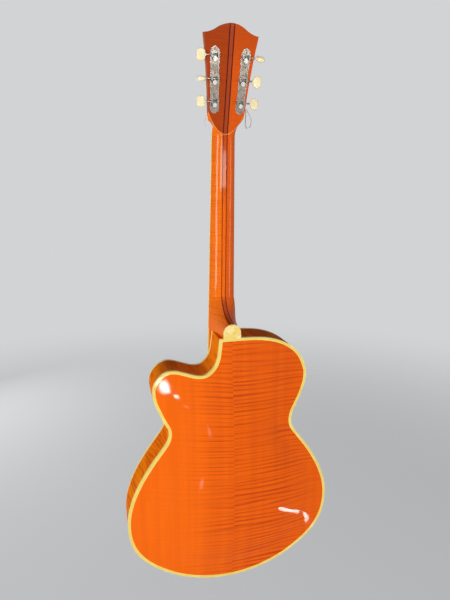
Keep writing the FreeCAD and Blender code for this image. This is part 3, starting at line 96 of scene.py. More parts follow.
# Three broad lamps for the whole object, and small ones that each put one highlight on the varnish
lamps = {
    "key": {"place": (1.6, 2.1, -0.4), "aim": (0, 0, -0.5), "size": (0.9, 1.2), "power": 42},
    "fill": {"place": (-2.2, 1.6, -0.4), "aim": (0, 0, -0.4), "size": (0.5, 1.4), "power": 12},
    "front": {"place": (1.4, -2.3, -0.3), "aim": (0, 0, -0.5), "size": (1.4, 1.4), "power": 36,
              "mirrored": False},
    "topSheen": {"place": (0.35, -2.4, 0.1), "aim": (0.06, -0.03, -0.5), "size": (0.3, 0.5),
                 "power": 6, "spread": 24},
    "neckStreak": {"place": (-0.141, 1.995, -0.105), "aim": (0.005, 0.007, -0.046),
                   "size": (0.9, 0.17), "power": 6},
    "cutawayGlare": {"place": (-0.077, 1.899, -1.198), "aim": (0.129, 0.061, -0.436),
                     "size": (0.05, 0.07), "power": 1.3, "spread": 4.4},
    "lowerArc": {"place": (-0.522, 0.522, -1.276), "aim": (-0.14, 0.067, -0.74),
                 "size": (0.026, 0.2), "power": 0.8, "spread": 50, "upright": (-0.616, -0.758, -0.213)},
    "upperGleam": {"place": (0.059, 1.752, -1.166), "aim": (0.047, 0.072, -0.529),
                   "size": (0.035, 0.226), "power": 0.3, "spread": 4.4, "upright": (0.82, 0.14, 0.55)},
    "lowerGleam": {"place": (-0.01, 1.27, -1.34), "aim": (0.065, 0.076, -0.635),
                   "size": (0.03, 0.1), "power": 0.09, "spread": 6, "upright": (0.2, 0.3, 0.9)},
}
openSpread = 179    # degrees, for a lamp that has no spread of its own


class Value:
    # wraps one output socket, so that sums on it add Math nodes
    def __init__(self, owner, socket):
        self.owner = owner
        self.socket = socket

    def calc(self, operation, first, second=0):
        return self.owner.node("Math", {"operation": operation}, {0: first, 1: second})

    def __add__(self, other):
        return self.calc("ADD", self, other)

    def __sub__(self, other):
        return self.calc("SUBTRACT", self, other)

    def __rsub__(self, other):
        return self.calc("SUBTRACT", other, self)

    def __mul__(self, other):
        return self.calc("MULTIPLY", self, other)

    def __abs__(self):
        return self.calc("ABSOLUTE", self)

    def __gt__(self, other):
        return self.calc("GREATER_THAN", self, other)

    def __lt__(self, other):
        return self.calc("LESS_THAN", self, other)

    __radd__ = __add__
    __rmul__ = __mul__


class Nodes:
    # adds nodes to one tree and joins them
    def __init__(self, tree):
        self.tree = tree

    def plug(self, socket, value):
        if isinstance(value, Value):
            self.tree.links.new(value.socket, socket)
        elif socket.type == "RGBA":
            socket.default_value = (*value[:3], 1)
        else:
            socket.default_value = value

    def node(self, kind, settings=None, sockets=None, output=0):
        made = self.tree.nodes.new("ShaderNode" + kind)
        for name, value in (settings or {}).items():
            setattr(made, name, value)
        for name, value in (sockets or {}).items():
            self.plug(made.inputs[name], value)
        return Value(self, made.outputs[output])

    def mix(self, share, first, second):
        # the first colour, with a share of the second over it
        return self.node("Mix", {"data_type": "RGBA"}, {0: share, 6: first, 7: second}, 2)

    def ramp(self, share, low, high, before=0.0, after=1.0):
        # eases from one number to another while share goes from low to high
        return self.node("MapRange", {"interpolation_type": "SMOOTHSTEP"},
                         {"Value": share, "From Min": low, "From Max": high,
                          "To Min": before, "To Max": after})

    def seen(self):
        # 1 where the camera, a mirror or glass looks, and 0 for the light that falls on the object
        return sum(self.node("LightPath", output=f"Is {kind} Ray")
                   for kind in ("Camera", "Glossy", "Transmission"))


class Finish(Nodes):
    # one material, its shader and the place of each point on the object
    def __init__(self, name):
        self.material = bpy.data.materials.new(name)
        self.material.use_nodes = True
        super().__init__(self.material.node_tree)
        self.shader = self.tree.nodes["Principled BSDF"]
        self.place = self.node("TexCoord", output="Object")
        self.x, self.y, self.z = [self.node("SeparateXYZ", sockets={0: self.place}, output=axis)
                                  for axis in "XYZ"]

    def set(self, **values):
        # Base_Color=... goes to the shader's Base Color
        for name, value in values.items():
            self.plug(self.shader.inputs[name.replace("_", " ")], value)

    def spot(self, x, y, z):
        return self.node("CombineXYZ", sockets={0: x, 1: y, 2: z})

    def noise(self, spot, scale, detail, rough=0.5, wander=0.0):
        return self.node("TexNoise", sockets={"Vector": spot, "Scale": scale, "Detail": detail,
                                              "Roughness": rough, "Distortion": wander})

    def stretched(self, fineness, detail, rough=0.5):
        # noise that is as fine along x, y and z as the three numbers say
        along = [axis * fine for axis, fine in zip((self.x, self.y, self.z), fineness)]
        return self.noise(self.spot(*along), 1, detail, rough)

    def openness(self, reach, inside=False):
        # low in corners, and with inside it is low along the outer edges
        return self.node("AmbientOcclusion", {"samples": 8, "inside": inside}, {"Distance": reach},
                         output="AO")

    def wave(self, turns):
        # swings from -1 to 1 once in each whole turn
        return self.node("Math", {"operation": "SINE"}, {0: turns * math.tau})

    def bump(self, height, depth, strength):
        self.set(Normal=self.node("Bump", sockets={"Height": height, "Distance": depth,
                                                   "Strength": strength}))


def makeCamera():
    data = bpy.data.cameras.new("photoCamera")
    data.lens = studio["lens"]
    data.sensor_width = studio["sensorWidth"]
    data.clip_end = studio["viewReach"]
    camera = bpy.data.objects.new("photoCamera", data)
    camera.location = studio["cameraPlace"]
    camera.rotation_euler = [math.radians(angle) for angle in studio["cameraTurn"]]
    scene.collection.objects.link(camera)
    scene.camera = camera
    scene.view_settings.view_transform = "Standard"


def makeAir():
    world = bpy.data.worlds.new("studioAir")
    world.use_nodes = True
    scene.world = world
    air = Nodes(world.node_tree)
    up = air.node("SeparateXYZ", sockets={0: air.node("TexCoord", output="Generated")}, output="Z")
    around = air.mix(air.ramp(up, *studio["airBand"]), studio["airLow"], studio["airHigh"])
    air.plug(world.node_tree.nodes["Background"].inputs["Color"],
             air.mix(air.seen(), around, studio["backdrop"]))


def makeFloor():
    radius, sides = studio["floorRadius"], studio["floorSides"]
    low = cadBounds[0].z - studio["floorDrop"]
    ring = [(radius * math.cos(math.tau * k / sides), radius * math.sin(math.tau * k / sides), low)
            for k in range(sides)]
    mesh = bpy.data.meshes.new("studioFloor")
    mesh.from_pydata(ring, [], [list(range(sides))])
    floor = bpy.data.objects.new("studioFloor", mesh)
    scene.collection.objects.link(floor)

    paint = Finish("floorPaint")
    paint.set(Base_Color=studio["floorTone"], Roughness=studio["floorRough"],
              Specular_IOR_Level=studio["floorGloss"])
    glow = paint.node("Emission", sockets={"Color": studio["backdrop"]})
    lit = paint.node("MixShader", sockets={0: paint.seen() * studio["floorGlow"],
                                           1: Value(paint, paint.shader.outputs[0]), 2: glow})
    away = paint.node("VectorMath", {"operation": "LENGTH"}, {0: paint.spot(paint.x, paint.y, 0)},
                      output="Value")
    faded = paint.node("MixShader", sockets={0: paint.ramp(away, *studio["floorFade"]), 1: lit,
                                             2: paint.node("BsdfTransparent")})
    paint.plug(paint.tree.nodes["Material Output"].inputs["Surface"], faded)
    mesh.materials.append(paint.material)


def makeLamps():
    for name, lamp in lamps.items():
        data = bpy.data.lights.new(name, "AREA")
        data.shape = "RECTANGLE"
        data.size, data.size_y = lamp["size"]
        # a lamp with a narrow spread shines as brightly along its middle as it would without
        half = math.radians(lamp.get("spread", openSpread)) / 2
        data.spread = half * 2
        data.energy = lamp["power"] * (math.tan(half) - half) / math.tan(half)
        light = bpy.data.objects.new(name, data)
        light.location = lamp["place"]
        back = (light.location - Vector(lamp["aim"])).normalized()
        across = Vector(lamp.get("upright", (0, 0, 1))).cross(back).normalized()
        light.rotation_euler = Matrix((across, back.cross(across), back)).transposed().to_euler()
        light.visible_camera = False
        light.visible_glossy = lamp.get("mirrored", True)
        scene.collection.objects.link(light)


# The varnish on the body, the neck and the ribs
bodyVarnish = {"Coat_Weight": 0.3, "Coat_Roughness": 0.04, "Roughness": 0.5, "Specular_IOR_Level": 0.0}
neckVarnish = {"Coat_Weight": 0.35, "Coat_Roughness": 0.05, "Roughness": 0.5, "Specular_IOR_Level": 0.0}
ribVarnish = {"Coat_Weight": 0.03, "Coat_Roughness": 0.12, "Roughness": 0.6, "Specular_IOR_Level": 0.0}

# The figure of curly maple: rates are per line or per metre along the grain
figure = {
    "swerve": 4.5,                # lines by which a dark line leaves its row
    "swerveRate": 22,
    "lineEdges": (0.1, 0.95),     # part of the wave that is a dark line
    "breakRate": 1.1,
    "breakEdges": (0.36, 0.62),
    "brokenShare": 0.35,          # what is left of a line where it breaks
    "faintRate": 2.6,
    "faintEdges": (0.45, 0.6),
    "fibreFineness": (900, 300, 14),
    "fibreEdges": (0.35, 0.75),
    "fibreDepth": 0.00002,
}


def curl(finish, across, along, linesPerMetre, reach):
    # thin dark lines across the grain, and the broader, fainter ones between them; a greater reach
    # makes them shorter, and the fixed number in each spot picks its own slice of the noise
    rows = along * linesPerMetre
    sway = finish.noise(finish.spot(across * reach, 1.3, along * figure["swerveRate"]), 1, 2)
    wave = finish.wave(rows + sway * figure["swerve"])
    level = finish.noise(finish.spot(across * reach * 3, 5.1, rows * figure["breakRate"]), 1, 2, 0.6)
    thin = (finish.ramp(wave, *figure["lineEdges"])
            * finish.ramp(level, *figure["breakEdges"], figure["brokenShare"]))
    finer = finish.spot(across * reach * 4 + 8, finish.y * 3, rows * figure["faintRate"])
    return thin, finish.ramp(finish.noise(finer, 1, 1.5), *figure["faintEdges"])


bodyMiddle = -0.62    # z of the middle of the body


def aroundBody(finish):
    # the angle round the middle of the body, in radians
    return finish.node("Math", {"operation": "ARCTAN2"}, {0: finish.x, 1: finish.z - bodyMiddle})


backWood = {
    "bright": tone(255, 110, 2),
    "deep": tone(232, 92, 2),
    "line": tone(176, 48, 2),
    "faintLine": tone(214, 76, 2),
    "fibre": tone(200, 70, 2),
    "lineShare": 0.7,
    "faintShare": 0.3,
    "fibreShare": 0.12,
    "linesPerMetre": 108,
    "lineReach": 2,
    "trebleRise": 0.105,                     # how the lines climb from the middle to the edge
    "bassRise": -0.02,
    "trebleShift": 0.0035,                   # so that the lines of the halves don't meet
    "trebleFade": (0.02, 0.11, 1, 0.08),     # from x to x, the lines go from one strength to another
    "bassFade": (-0.19, -0.13, 0.35, 1),
    "trebleLoss": 0.2,
    "patches": (9, 12),                      # per metre across and along the grain
    "patchFade": (0.3, 0.65, 0.45, 1),
    "streaks": (70, 1.5),
    "streakEdges": (0.35, 0.7),
    "streakDeepening": 0.3,
    "deepFade": (-0.1, 0.12, 1, 0.1),
    "bassDeepening": 0.7,
}


def flamedBack():
    wood = Finish("flamedBack")
    side = abs(wood.x)
    treble = wood.x > 0
    rise = treble * (backWood["trebleRise"] - backWood["bassRise"]) + backWood["bassRise"]
    along = wood.z - side * rise + treble * backWood["trebleShift"]
    thin, broad = curl(wood, side, along, backWood["linesPerMetre"], backWood["lineReach"])
    fade = wood.ramp(wood.x, *backWood["trebleFade"]) * wood.ramp(wood.x, *backWood["bassFade"])
    fade = fade * (1 - treble * backWood["trebleLoss"])
    wide, long = backWood["patches"]
    patch = wood.ramp(wood.noise(wood.spot(wood.x * wide, 0, along * long), 1, 1), *backWood["patchFade"])
    wide, long = backWood["streaks"]
    streak = wood.ramp(wood.noise(wood.spot(wood.x * wide, 0.5, wood.z * long), 1, 2),
                       *backWood["streakEdges"])
    depth = (wood.ramp(wood.x, *backWood["deepFade"]) * backWood["bassDeepening"]
             + streak * backWood["streakDeepening"])
    fibres = wood.stretched(figure["fibreFineness"], 3, 0.6)
    ground = wood.mix(depth, backWood["bright"], backWood["deep"])
    ground = wood.mix(broad * fade * backWood["faintShare"], ground, backWood["faintLine"])
    ground = wood.mix(thin * fade * patch * backWood["lineShare"], ground, backWood["line"])
    ground = wood.mix(wood.ramp(fibres, *figure["fibreEdges"]) * backWood["fibreShare"], ground,
                      backWood["fibre"])
    wood.set(Base_Color=ground, **bodyVarnish)
    wood.bump(fibres, figure["fibreDepth"], 0.25)
    return wood


ribWood = {
    "bright": tone(255, 136, 2),
    "deep": tone(240, 112, 2),
    "line": tone(176, 56, 2),
    "fibre": tone(170, 56, 2),
    "lineShare": 0.5,
    "fibreShare": 0.15,
    "linesPerRadian": 22,          # round the body
    "neckLinesPerMetre": 230,      # along z beside the neck
    "neckBand": (-0.44, -0.4),
    "slant": 30,                   # lines per metre from one edge of the rib to the other
    "neckSlant": 190,
    "swerve": 3,
    "swerveFineness": (24, 6, 24),
    "breakFineness": (90, 12, 90),
    "fibreFineness": (30, 900, 30),
}


def flamedRib():
    wood = Finish("flamedRib")
    # the lines run across the ribs: they are counted round the body, and along z beside the neck
    nearNeck = wood.ramp(wood.z, *ribWood["neckBand"])
    bodyCount = aroundBody(wood) * ribWood["linesPerRadian"]
    count = bodyCount + nearNeck * wood.z * ribWood["neckLinesPerMetre"]
    count = count + wood.y * (nearNeck * ribWood["neckSlant"] + ribWood["slant"])
    wave = wood.wave(count + wood.stretched(ribWood["swerveFineness"], 2) * ribWood["swerve"])
    level = wood.stretched(ribWood["breakFineness"], 2)
    thin = wood.ramp(wave, 0.0, 0.95) * wood.ramp(level, 0.35, 0.62, 0.3)
    fibres = wood.stretched(ribWood["fibreFineness"], 3, 0.6)
    ground = wood.mix(wood.ramp(level, 0.35, 0.65), ribWood["bright"], ribWood["deep"])
    ground = wood.mix(thin * ribWood["lineShare"], ground, ribWood["line"])
    ground = wood.mix(wood.ramp(fibres, 0.4, 0.75) * ribWood["fibreShare"], ground, ribWood["fibre"])
    wood.set(Base_Color=ground, **ribVarnish)
    wood.bump(fibres, figure["fibreDepth"], 0.2)
    return wood


# The flat back of the head begins at a curved line across the neck, z = low + bend * x * x
headLine = {
    "low": 0.0062,
    "bend": 31.6,
    "softness": 0.0005,
    "highlightWidth": (0.0004, 0.0009),
    "highlightShare": 0.7,
    "highlightBehind": 0.006,           # the painted highlight lies only where y is above this
}


def headEdge(finish):
    # 1 on the head and 0 on the neck, and a painted highlight along the line between them
    past = finish.z - finish.x * finish.x * headLine["bend"] - headLine["low"]
    # painted highlight: a pale line along the edge where the flat head back ends
    paintedHighlight = finish.ramp(abs(past), *headLine["highlightWidth"], 1, 0) * (finish.y > headLine["highlightBehind"])
    return finish.ramp(past, -headLine["softness"], headLine["softness"]), paintedHighlight * headLine["highlightShare"]


neckWood = {
    "neckBass": tone(240, 102, 2),
    "neckTreble": tone(255, 122, 2),
    # the head's tones are darker than the neck's: painted shade of the tilted head, darkest on the treble wing and
    # toward the tip
    "headBass": tone(226, 90, 2),
    "headTrebleShaded": tone(170, 62, 2),
    "headTipShaded": tone(150, 54, 2),
    "tipShadeFade": (0.09, 0.17, 0, 0.45),
    "line": tone(176, 54, 2),
    "faintLine": tone(206, 72, 2),
    "fibre": tone(180, 60, 2),
    "paintedHighlight": tone(255, 176, 90),
    "lineShare": 0.14,
    "faintShare": 0.25,
    "fibreShare": 0.2,
    "linesPerMetre": 190,
    "lineReach": 8,
}


def neckMaple():
    wood = Finish("neckMaple")
    thin, broad = curl(wood, wood.x, wood.z, neckWood["linesPerMetre"], neckWood["lineReach"])
    fibres = wood.stretched(figure["fibreFineness"], 3, 0.6)
    inHead, paintedHighlight = headEdge(wood)
    treble = wood.x > 0
    # painted shade: the head darker than the neck, darker on its treble wing and darker again toward its tip
    head = wood.mix(treble, neckWood["headBass"], neckWood["headTrebleShaded"])
    head = wood.mix(wood.ramp(wood.z, *neckWood["tipShadeFade"]), head, neckWood["headTipShaded"])
    shade = wood.mix(inHead, wood.mix(treble, neckWood["neckBass"], neckWood["neckTreble"]), head)
    ground = wood.mix(broad * neckWood["faintShare"], shade, neckWood["faintLine"])
    ground = wood.mix(thin * neckWood["lineShare"], ground, neckWood["line"])
    ground = wood.mix(wood.ramp(fibres, *figure["fibreEdges"]) * neckWood["fibreShare"], ground,
                      neckWood["fibre"])
    # the pale line along the head's edge is a painted highlight
    wood.set(Base_Color=wood.mix(paintedHighlight, ground, neckWood["paintedHighlight"]), **neckVarnish)
    wood.bump(fibres, figure["fibreDepth"], 0.2)
    return wood


# The strip in the middle of the neck and the veneers beside it, paler from half way down to the heel
strips = {
    "centreStrip": {"light": tone(214, 88, 22), "dark": tone(190, 68, 10), "lowNeck": tone(255, 112, 2),
                    "head": tone(158, 64, 30)},
    "darkVeneer": {"light": tone(120, 22, 2), "dark": tone(88, 12, 2), "lowNeck": tone(160, 48, 2),
                   "head": tone(84, 10, 4)},
    "pore": tone(60, 14, 8),
    "poreShare": 0.4,
    "poreFineness": (1600, 500, 60),
    "paintedHighlight": tone(240, 150, 96),
    "headShadeShare": 0.8,
    "paleFade": (-0.14, -0.04, 0.85, 0),
    "heelFade": (-0.305, -0.285),
}


def stripWood(name):
    wood = Finish(name)
    tones = strips[name]
    fibres = wood.stretched(figure["fibreFineness"], 3, 0.6)
    pores = wood.ramp(wood.stretched(strips["poreFineness"], 2), 0.55, 0.7)
    inHead, paintedHighlight = headEdge(wood)
    pale = wood.ramp(wood.z, *strips["paleFade"]) * wood.ramp(wood.z, *strips["heelFade"])
    ground = wood.mix(wood.ramp(fibres, 0.3, 0.7), tones["light"], tones["dark"])
    ground = wood.mix(pale, ground, tones["lowNeck"])
    # painted shade: the strip and the veneers are darker on the head than on the neck
    ground = wood.mix(inHead * strips["headShadeShare"], ground, tones["head"])
    ground = wood.mix(pores * strips["poreShare"], ground, strips["pore"])
    # the pale line along the head's edge is a painted highlight
    wood.set(Base_Color=wood.mix(paintedHighlight, ground, strips["paintedHighlight"]), **neckVarnish)
    wood.bump(fibres, figure["fibreDepth"], 0.2)
    return wood


topWood = {
    "early": tone(240, 148, 40),
    "late": tone(206, 98, 18),
    "silk": tone(250, 180, 80),
    "shade": tone(220, 110, 20),
    "lateShare": 0.6,
    "silkShare": 0.14,
    "shadeShare": 0.25,
    "ringFineness": (430, 20, 2.2),
    "ringDepth": 0.00003,
    "silkFineness": (60, 0, 420),
    "shadeFineness": 4,
}


def spruceTop():
    wood = Finish("spruceTop")
    # the rings run along the top and are the same on both sides of its middle joint
    across, deep, along = topWood["ringFineness"]
    spot = wood.spot(abs(wood.x) * across, wood.y * deep, wood.z * along)
    ring = wood.noise(spot, 1, 2, 0.4, 0.1)
    silk = wood.ramp(wood.stretched(topWood["silkFineness"], 2), 0.5, 0.75)
    cloud = wood.ramp(wood.noise(wood.place, topWood["shadeFineness"], 1), 0.35, 0.7)
    late = wood.ramp(ring, 0.46, 0.62) * topWood["lateShare"]
    ground = wood.mix(late, topWood["early"], topWood["late"])
    ground = wood.mix(silk * topWood["silkShare"], ground, topWood["silk"])
    ground = wood.mix(cloud * topWood["shadeShare"], ground, topWood["shade"])
    wood.set(Base_Color=ground, **bodyVarnish)
    wood.bump(ring, topWood["ringDepth"], 0.25)
    return wood


darkBoards = {
    "rosewoodBoard": {"light": tone(92, 54, 36), "dark": tone(48, 26, 18), "rough": 0.4},
    "ebonyBridge": {"light": tone(44, 34, 30), "dark": tone(24, 19, 17), "rough": 0.32},
    "pore": tone(16, 9, 7),
    "poreShare": 0.6,
    "poreRough": 0.2,
    "poreDepth": 0.00006,
    "poreFineness": (1300, 1300, 70),
    "bandFineness": (160, 60, 5),
}


def darkBoard(name):
    wood = Finish(name)
    board = darkBoards[name]
    pores = wood.ramp(wood.stretched(darkBoards["poreFineness"], 2, 0.6), 0.56, 0.7)
    band = wood.ramp(wood.stretched(darkBoards["bandFineness"], 2), 0.35, 0.65)
    ground = wood.mix(band, board["light"], board["dark"])
    wood.set(Base_Color=wood.mix(pores * darkBoards["poreShare"], ground, darkBoards["pore"]),
             Roughness=board["rough"] + pores * darkBoards["poreRough"])
    wood.bump(1 - pores, darkBoards["poreDepth"], 0.5)
    return wood


# The wood inside the body, with saw cuts across the linings
insideWood = {
    "light": tone(226, 190, 138),
    "dark": tone(196, 154, 102),
    "cut": tone(120, 84, 50),
    "cutShare": 0.35,
    "cutsPerRadian": 14,
    "cutWidth": 0.14,
    "fibreFineness": (500, 200, 30),
    "fibreDepth": 0.0001,
    "rough": 0.75,
}


def bareWood():
    wood = Finish("bareWood")
    fibres = wood.stretched(insideWood["fibreFineness"], 3)
    turn = aroundBody(wood) * insideWood["cutsPerRadian"]
    cut = wood.node("Math", {"operation": "FRACT"}, {0: turn}) < insideWood["cutWidth"]
    ground = wood.mix(wood.ramp(fibres, 0.3, 0.7), insideWood["light"], insideWood["dark"])
    wood.set(Base_Color=wood.mix(cut * insideWood["cutShare"], ground, insideWood["cut"]),
             Roughness=insideWood["rough"])
    wood.bump(fibres, insideWood["fibreDepth"], 0.4)
    return wood


creamTrim = {
    "light": tone(248, 228, 120),
    "deep": tone(244, 212, 96),
    "coat": 0.25,
    "coatRough": 0.08,
    "rough": 0.4,
    "scrapeRough": 0.1,
    "scrapeDepth": 0.00002,
    "scrapeFineness": (60, 1500, 60),
    "cloudFineness": 38,
    "gloss": 0.2,
}


def creamBinding():
    trim = Finish("creamBinding")
    cloud = trim.noise(trim.place, creamTrim["cloudFineness"], 3, 0.6)
    scrape = trim.stretched(creamTrim["scrapeFineness"], 2)
    trim.set(Base_Color=trim.mix(trim.ramp(cloud, 0.3, 0.7), creamTrim["light"], creamTrim["deep"]),
             Coat_Weight=creamTrim["coat"], Coat_Roughness=creamTrim["coatRough"],
             Roughness=creamTrim["rough"] + scrape * creamTrim["scrapeRough"],
             Specular_IOR_Level=creamTrim["gloss"])
    trim.bump(scrape, creamTrim["scrapeDepth"], 0.2)
    return trim


pearls = {
    "pearlDots": {"light": tone(240, 238, 226), "deep": tone(196, 200, 196), "flakesPerMetre": 260.0},
    "pearlHeelCap": {"light": tone(254, 238, 172), "deep": tone(244, 206, 92), "flakesPerMetre": 130.0},
    "ripplesPerMetre": 90.0,
    "ripple": 0.006,
    "coat": 0.5,
    "coatRough": 0.04,
    "rough": 0.3,
    "flashRough": 0.2,
    "gloss": 0.3,
}


def pearl(name):
    trim = Finish(name)
    tones = pearls[name]
    # flakes with rippled edges, each with its own brightness
    ripple = trim.node("TexNoise", sockets={"Vector": trim.place, "Scale": pearls["ripplesPerMetre"],
                                            "Detail": 2.0}, output="Color")
    shift = trim.node("VectorMath", {"operation": "SCALE"}, {0: ripple, "Scale": pearls["ripple"]})
    spot = trim.node("VectorMath", {"operation": "ADD"}, {0: trim.place, 1: shift})
    flake = trim.node("TexVoronoi", {"feature": "F1"}, {"Vector": spot, "Scale": tones["flakesPerMetre"]},
                      output="Color")
    flash = trim.node("SeparateColor", sockets={0: flake})
    trim.set(Base_Color=trim.mix(flash, tones["light"], tones["deep"]), Coat_Weight=pearls["coat"],
             Coat_Roughness=pearls["coatRough"], Roughness=pearls["rough"] + flash * pearls["flashRough"],
             Specular_IOR_Level=pearls["gloss"])
    return trim


blackTrim = {
    "deep": tone(12, 11, 11),
    "light": tone(26, 23, 22),
    "coat": 1.0,
    "coatRough": 0.03,
    "rough": 0.3,
    "hazeRough": 0.1,
    "hazeDepth": 0.00001,
    "hazeFineness": 60,
}


def blackLacquer():
    trim = Finish("blackLacquer")
    haze = trim.noise(trim.place, blackTrim["hazeFineness"], 3, 0.7)
    trim.set(Base_Color=trim.mix(haze, blackTrim["deep"], blackTrim["light"]),
             Coat_Weight=blackTrim["coat"], Coat_Roughness=blackTrim["coatRough"],
             Roughness=blackTrim["rough"] + haze * blackTrim["hazeRough"])
    trim.bump(haze, blackTrim["hazeDepth"], 0.2)
    return trim


purfling = {
    "deep": tone(206, 172, 82),
    "light": tone(222, 188, 96),
    "hazeFineness": 200,
    "coat": 0.5,
    "coatRough": 0.05,
    "rough": 0.4,
}


def darkLine():
    trim = Finish("darkLine")
    haze = trim.noise(trim.place, purfling["hazeFineness"], 2)
    trim.set(Base_Color=trim.mix(haze, purfling["deep"], purfling["light"]),
             Coat_Weight=purfling["coat"], Coat_Roughness=purfling["coatRough"],
             Roughness=purfling["rough"])
    return trim


nutBone = {
    "light": tone(236, 226, 198),
    "deep": tone(214, 198, 158),
    "rough": 0.28,
    "streakRough": 0.12,
    "streakFineness": (60, 700, 700),
}


def polishedBone():
    trim = Finish("polishedBone")
    streak = trim.stretched(nutBone["streakFineness"], 3)
    trim.set(Base_Color=trim.mix(trim.ramp(streak, 0.35, 0.7), nutBone["light"], nutBone["deep"]),
             Roughness=nutBone["rough"] + streak * nutBone["streakRough"])
    return trim


metals = {
    "agedNickel": {"bright": tone(186, 176, 164), "dull": tone(98, 90, 82), "rough": 0.18, "wear": 0.7},
    "plainSteel": {"bright": tone(206, 202, 196), "dull": tone(140, 134, 124), "rough": 0.2, "wear": 0.4},
    "gearBrass": {"bright": tone(255, 252, 238), "dull": tone(196, 184, 150), "rough": 0.12, "wear": 0.35,
                  "metallic": 0.6},
    "ballBrass": {"bright": tone(214, 178, 104), "dull": tone(130, 96, 44), "rough": 0.25, "wear": 0.6},
    "paleEdge": tone(250, 248, 240),
    "paleEdgeShare": 0.7,
    "grimeAndShade": tone(38, 33, 28),
    "grimeAndShadeShare": 0.9,
    "grimeAndShadeReach": 0.004,       # painted dirt and shade lie in corners this deep
    "edgeReach": 0.0005,       # and edges this wide are made paler
    "grimeRough": 0.3,
    "stainFineness": 170,
    "stainRough": 0.14,
    "speckFineness": 1500,
    "speckShare": 0.2,
    "scratchFineness": (400, 400, 4000),
    "scratchRough": 0.05,
    "scratchDepth": 0.00001,
}


def metal(name):
    trim = Finish(name)
    kind = metals[name]
    wear = kind["wear"]
    stain = trim.ramp(trim.noise(trim.place, metals["stainFineness"], 2), 0.36, 0.66)
    speck = trim.ramp(trim.noise(trim.place, metals["speckFineness"], 3, 0.6), 0.55, 0.75)
    scratch = trim.stretched(metals["scratchFineness"], 3)
    # dirt and painted shade: darker in corners and around gears, lugs and screws
    grimeAndShade = trim.ramp(trim.openness(metals["grimeAndShadeReach"]), 0.35, 0.8, 1, 0)
    edge = trim.openness(metals["edgeReach"], inside=True)
    paleEdges = trim.ramp(edge, 0.5, 0.95, metals["paleEdgeShare"], 0)
    face = trim.mix(stain * wear + speck * wear * metals["speckShare"], kind["bright"], kind["dull"])
    face = trim.mix(paleEdges, face, metals["paleEdge"])
    rough = kind["rough"] + stain * metals["stainRough"] + scratch * metals["scratchRough"]
    trim.set(Base_Color=trim.mix(grimeAndShade * metals["grimeAndShadeShare"], face, metals["grimeAndShade"]),
             Metallic=kind.get("metallic", 1.0), Roughness=rough + grimeAndShade * metals["grimeRough"])
    trim.bump(scratch, metals["scratchDepth"], 0.3)
    return trim


keyButtons = {
    "light": tone(255, 246, 206),
    "deep": tone(250, 228, 166),
    "cloudFineness": 120,
    "cloudDepth": 0.00004,
    "coat": 0.8,
    "coatRough": 0.06,
    "rough": 0.34,
}


def buttonCream():
    trim = Finish("buttonCream")
    cloud = trim.noise(trim.place, keyButtons["cloudFineness"], 3, 0.6)
    trim.set(Base_Color=trim.mix(trim.ramp(cloud, 0.3, 0.7), keyButtons["light"], keyButtons["deep"]),
             Coat_Weight=keyButtons["coat"], Coat_Roughness=keyButtons["coatRough"],
             Roughness=keyButtons["rough"])
    trim.bump(cloud, keyButtons["cloudDepth"], 0.2)
    return trim


for build in (makeCamera, makeAir, makeFloor, makeLamps):
    build()
print("studio ready:", len(lamps), "lamps")

finishes = {
    "spruce": spruceTop(),
    "maple": flamedBack(),
    "strip_wood": stripWood("centreStrip"),
    "veneer_wood": stripWood("darkVeneer"),
    "bare_wood": bareWood(),
    "cream": creamBinding(),
    "black_line": darkLine(),
    "rosewood": darkBoard("rosewoodBoard"),
    "ebony": darkBoard("ebonyBridge"),
    "pearl": pearl("pearlDots"),
    "bone": polishedBone(),
    "black_gloss": blackLacquer(),
    "nickel": metal("agedNickel"),
    "steel": metal("plainSteel"),
    "gear_brass": metal("gearBrass"),
    "button_cream": buttonCream(),
}
ribs = flamedRib()
# nodes that look different from the rest of their material slot
ownFinishes = {
    "rib_bass": ribs,
    "rib_treble": ribs,
    "neck_wings": neckMaple(),
    "heel_cap": pearl("pearlHeelCap"),
}
slots = {part["node"]: part["material_slot"] for part in frame["record"]["subparts"]}
for name, node in nodes.items():
    finish = ownFinishes.get(name) or finishes[slots[name]]
    node.data.materials.clear()
    node.data.materials.append(finish.material)
print("finishes on", len(nodes), "nodes")


def tube(name, points, radius, finish, sides=10, tip=1):
    # round wire along points, with closed ends; the last ring is narrowed to the share in tip
    points = [Vector(point) for point in points]
    rings, faces = [], []
    side = None
    for k, point in enumerate(points):
        ahead = (points[min(k + 1, len(points) - 1)] - points[max(k - 1, 0)]).normalized()
        side = ahead.orthogonal() if side is None else side - ahead * side.dot(ahead)
        side.normalize()
        over = ahead.cross(side)
        wide = radius * (tip if k == len(points) - 1 else 1)
        rings += [point + wide * (math.cos(angle) * side + math.sin(angle) * over)
                  for angle in (math.tau * j / sides for j in range(sides))]
    for k in range(len(points) - 1):
        for j in range(sides):
            a, b = k * sides + j, k * sides + (j + 1) % sides
            faces.append((a, b, b + sides, a + sides))
    faces.append(list(reversed(range(sides))))
    faces.append([(len(points) - 1) * sides + j for j in range(sides)])
    mesh = bpy.data.meshes.new(name)
    mesh.from_pydata(rings, [], faces)
    mesh.polygons.foreach_set("use_smooth", [True] * len(faces))
    mesh.materials.append(finish.material)
    piece = bpy.data.objects.new(name, mesh)
    scene.collection.objects.link(piece)
    return piece


def smoothRoute(points, steps=8):
    # a rounded line through the points
    points = [Vector(point) for point in points]
    ends = [2 * points[0] - points[1]] + points + [2 * points[-1] - points[-2]]
    route = []
    for before, here, after, last in zip(ends, ends[1:], ends[2:], ends[3:]):
        for k in range(steps):
            t = k / steps
            route.append(0.5 * (2 * here + (after - before) * t
                                + (2 * before - 5 * here + 4 * after - last) * t ** 2
                                + (3 * here - before - 3 * after + last) * t ** 3))
    return route + [points[-1]]


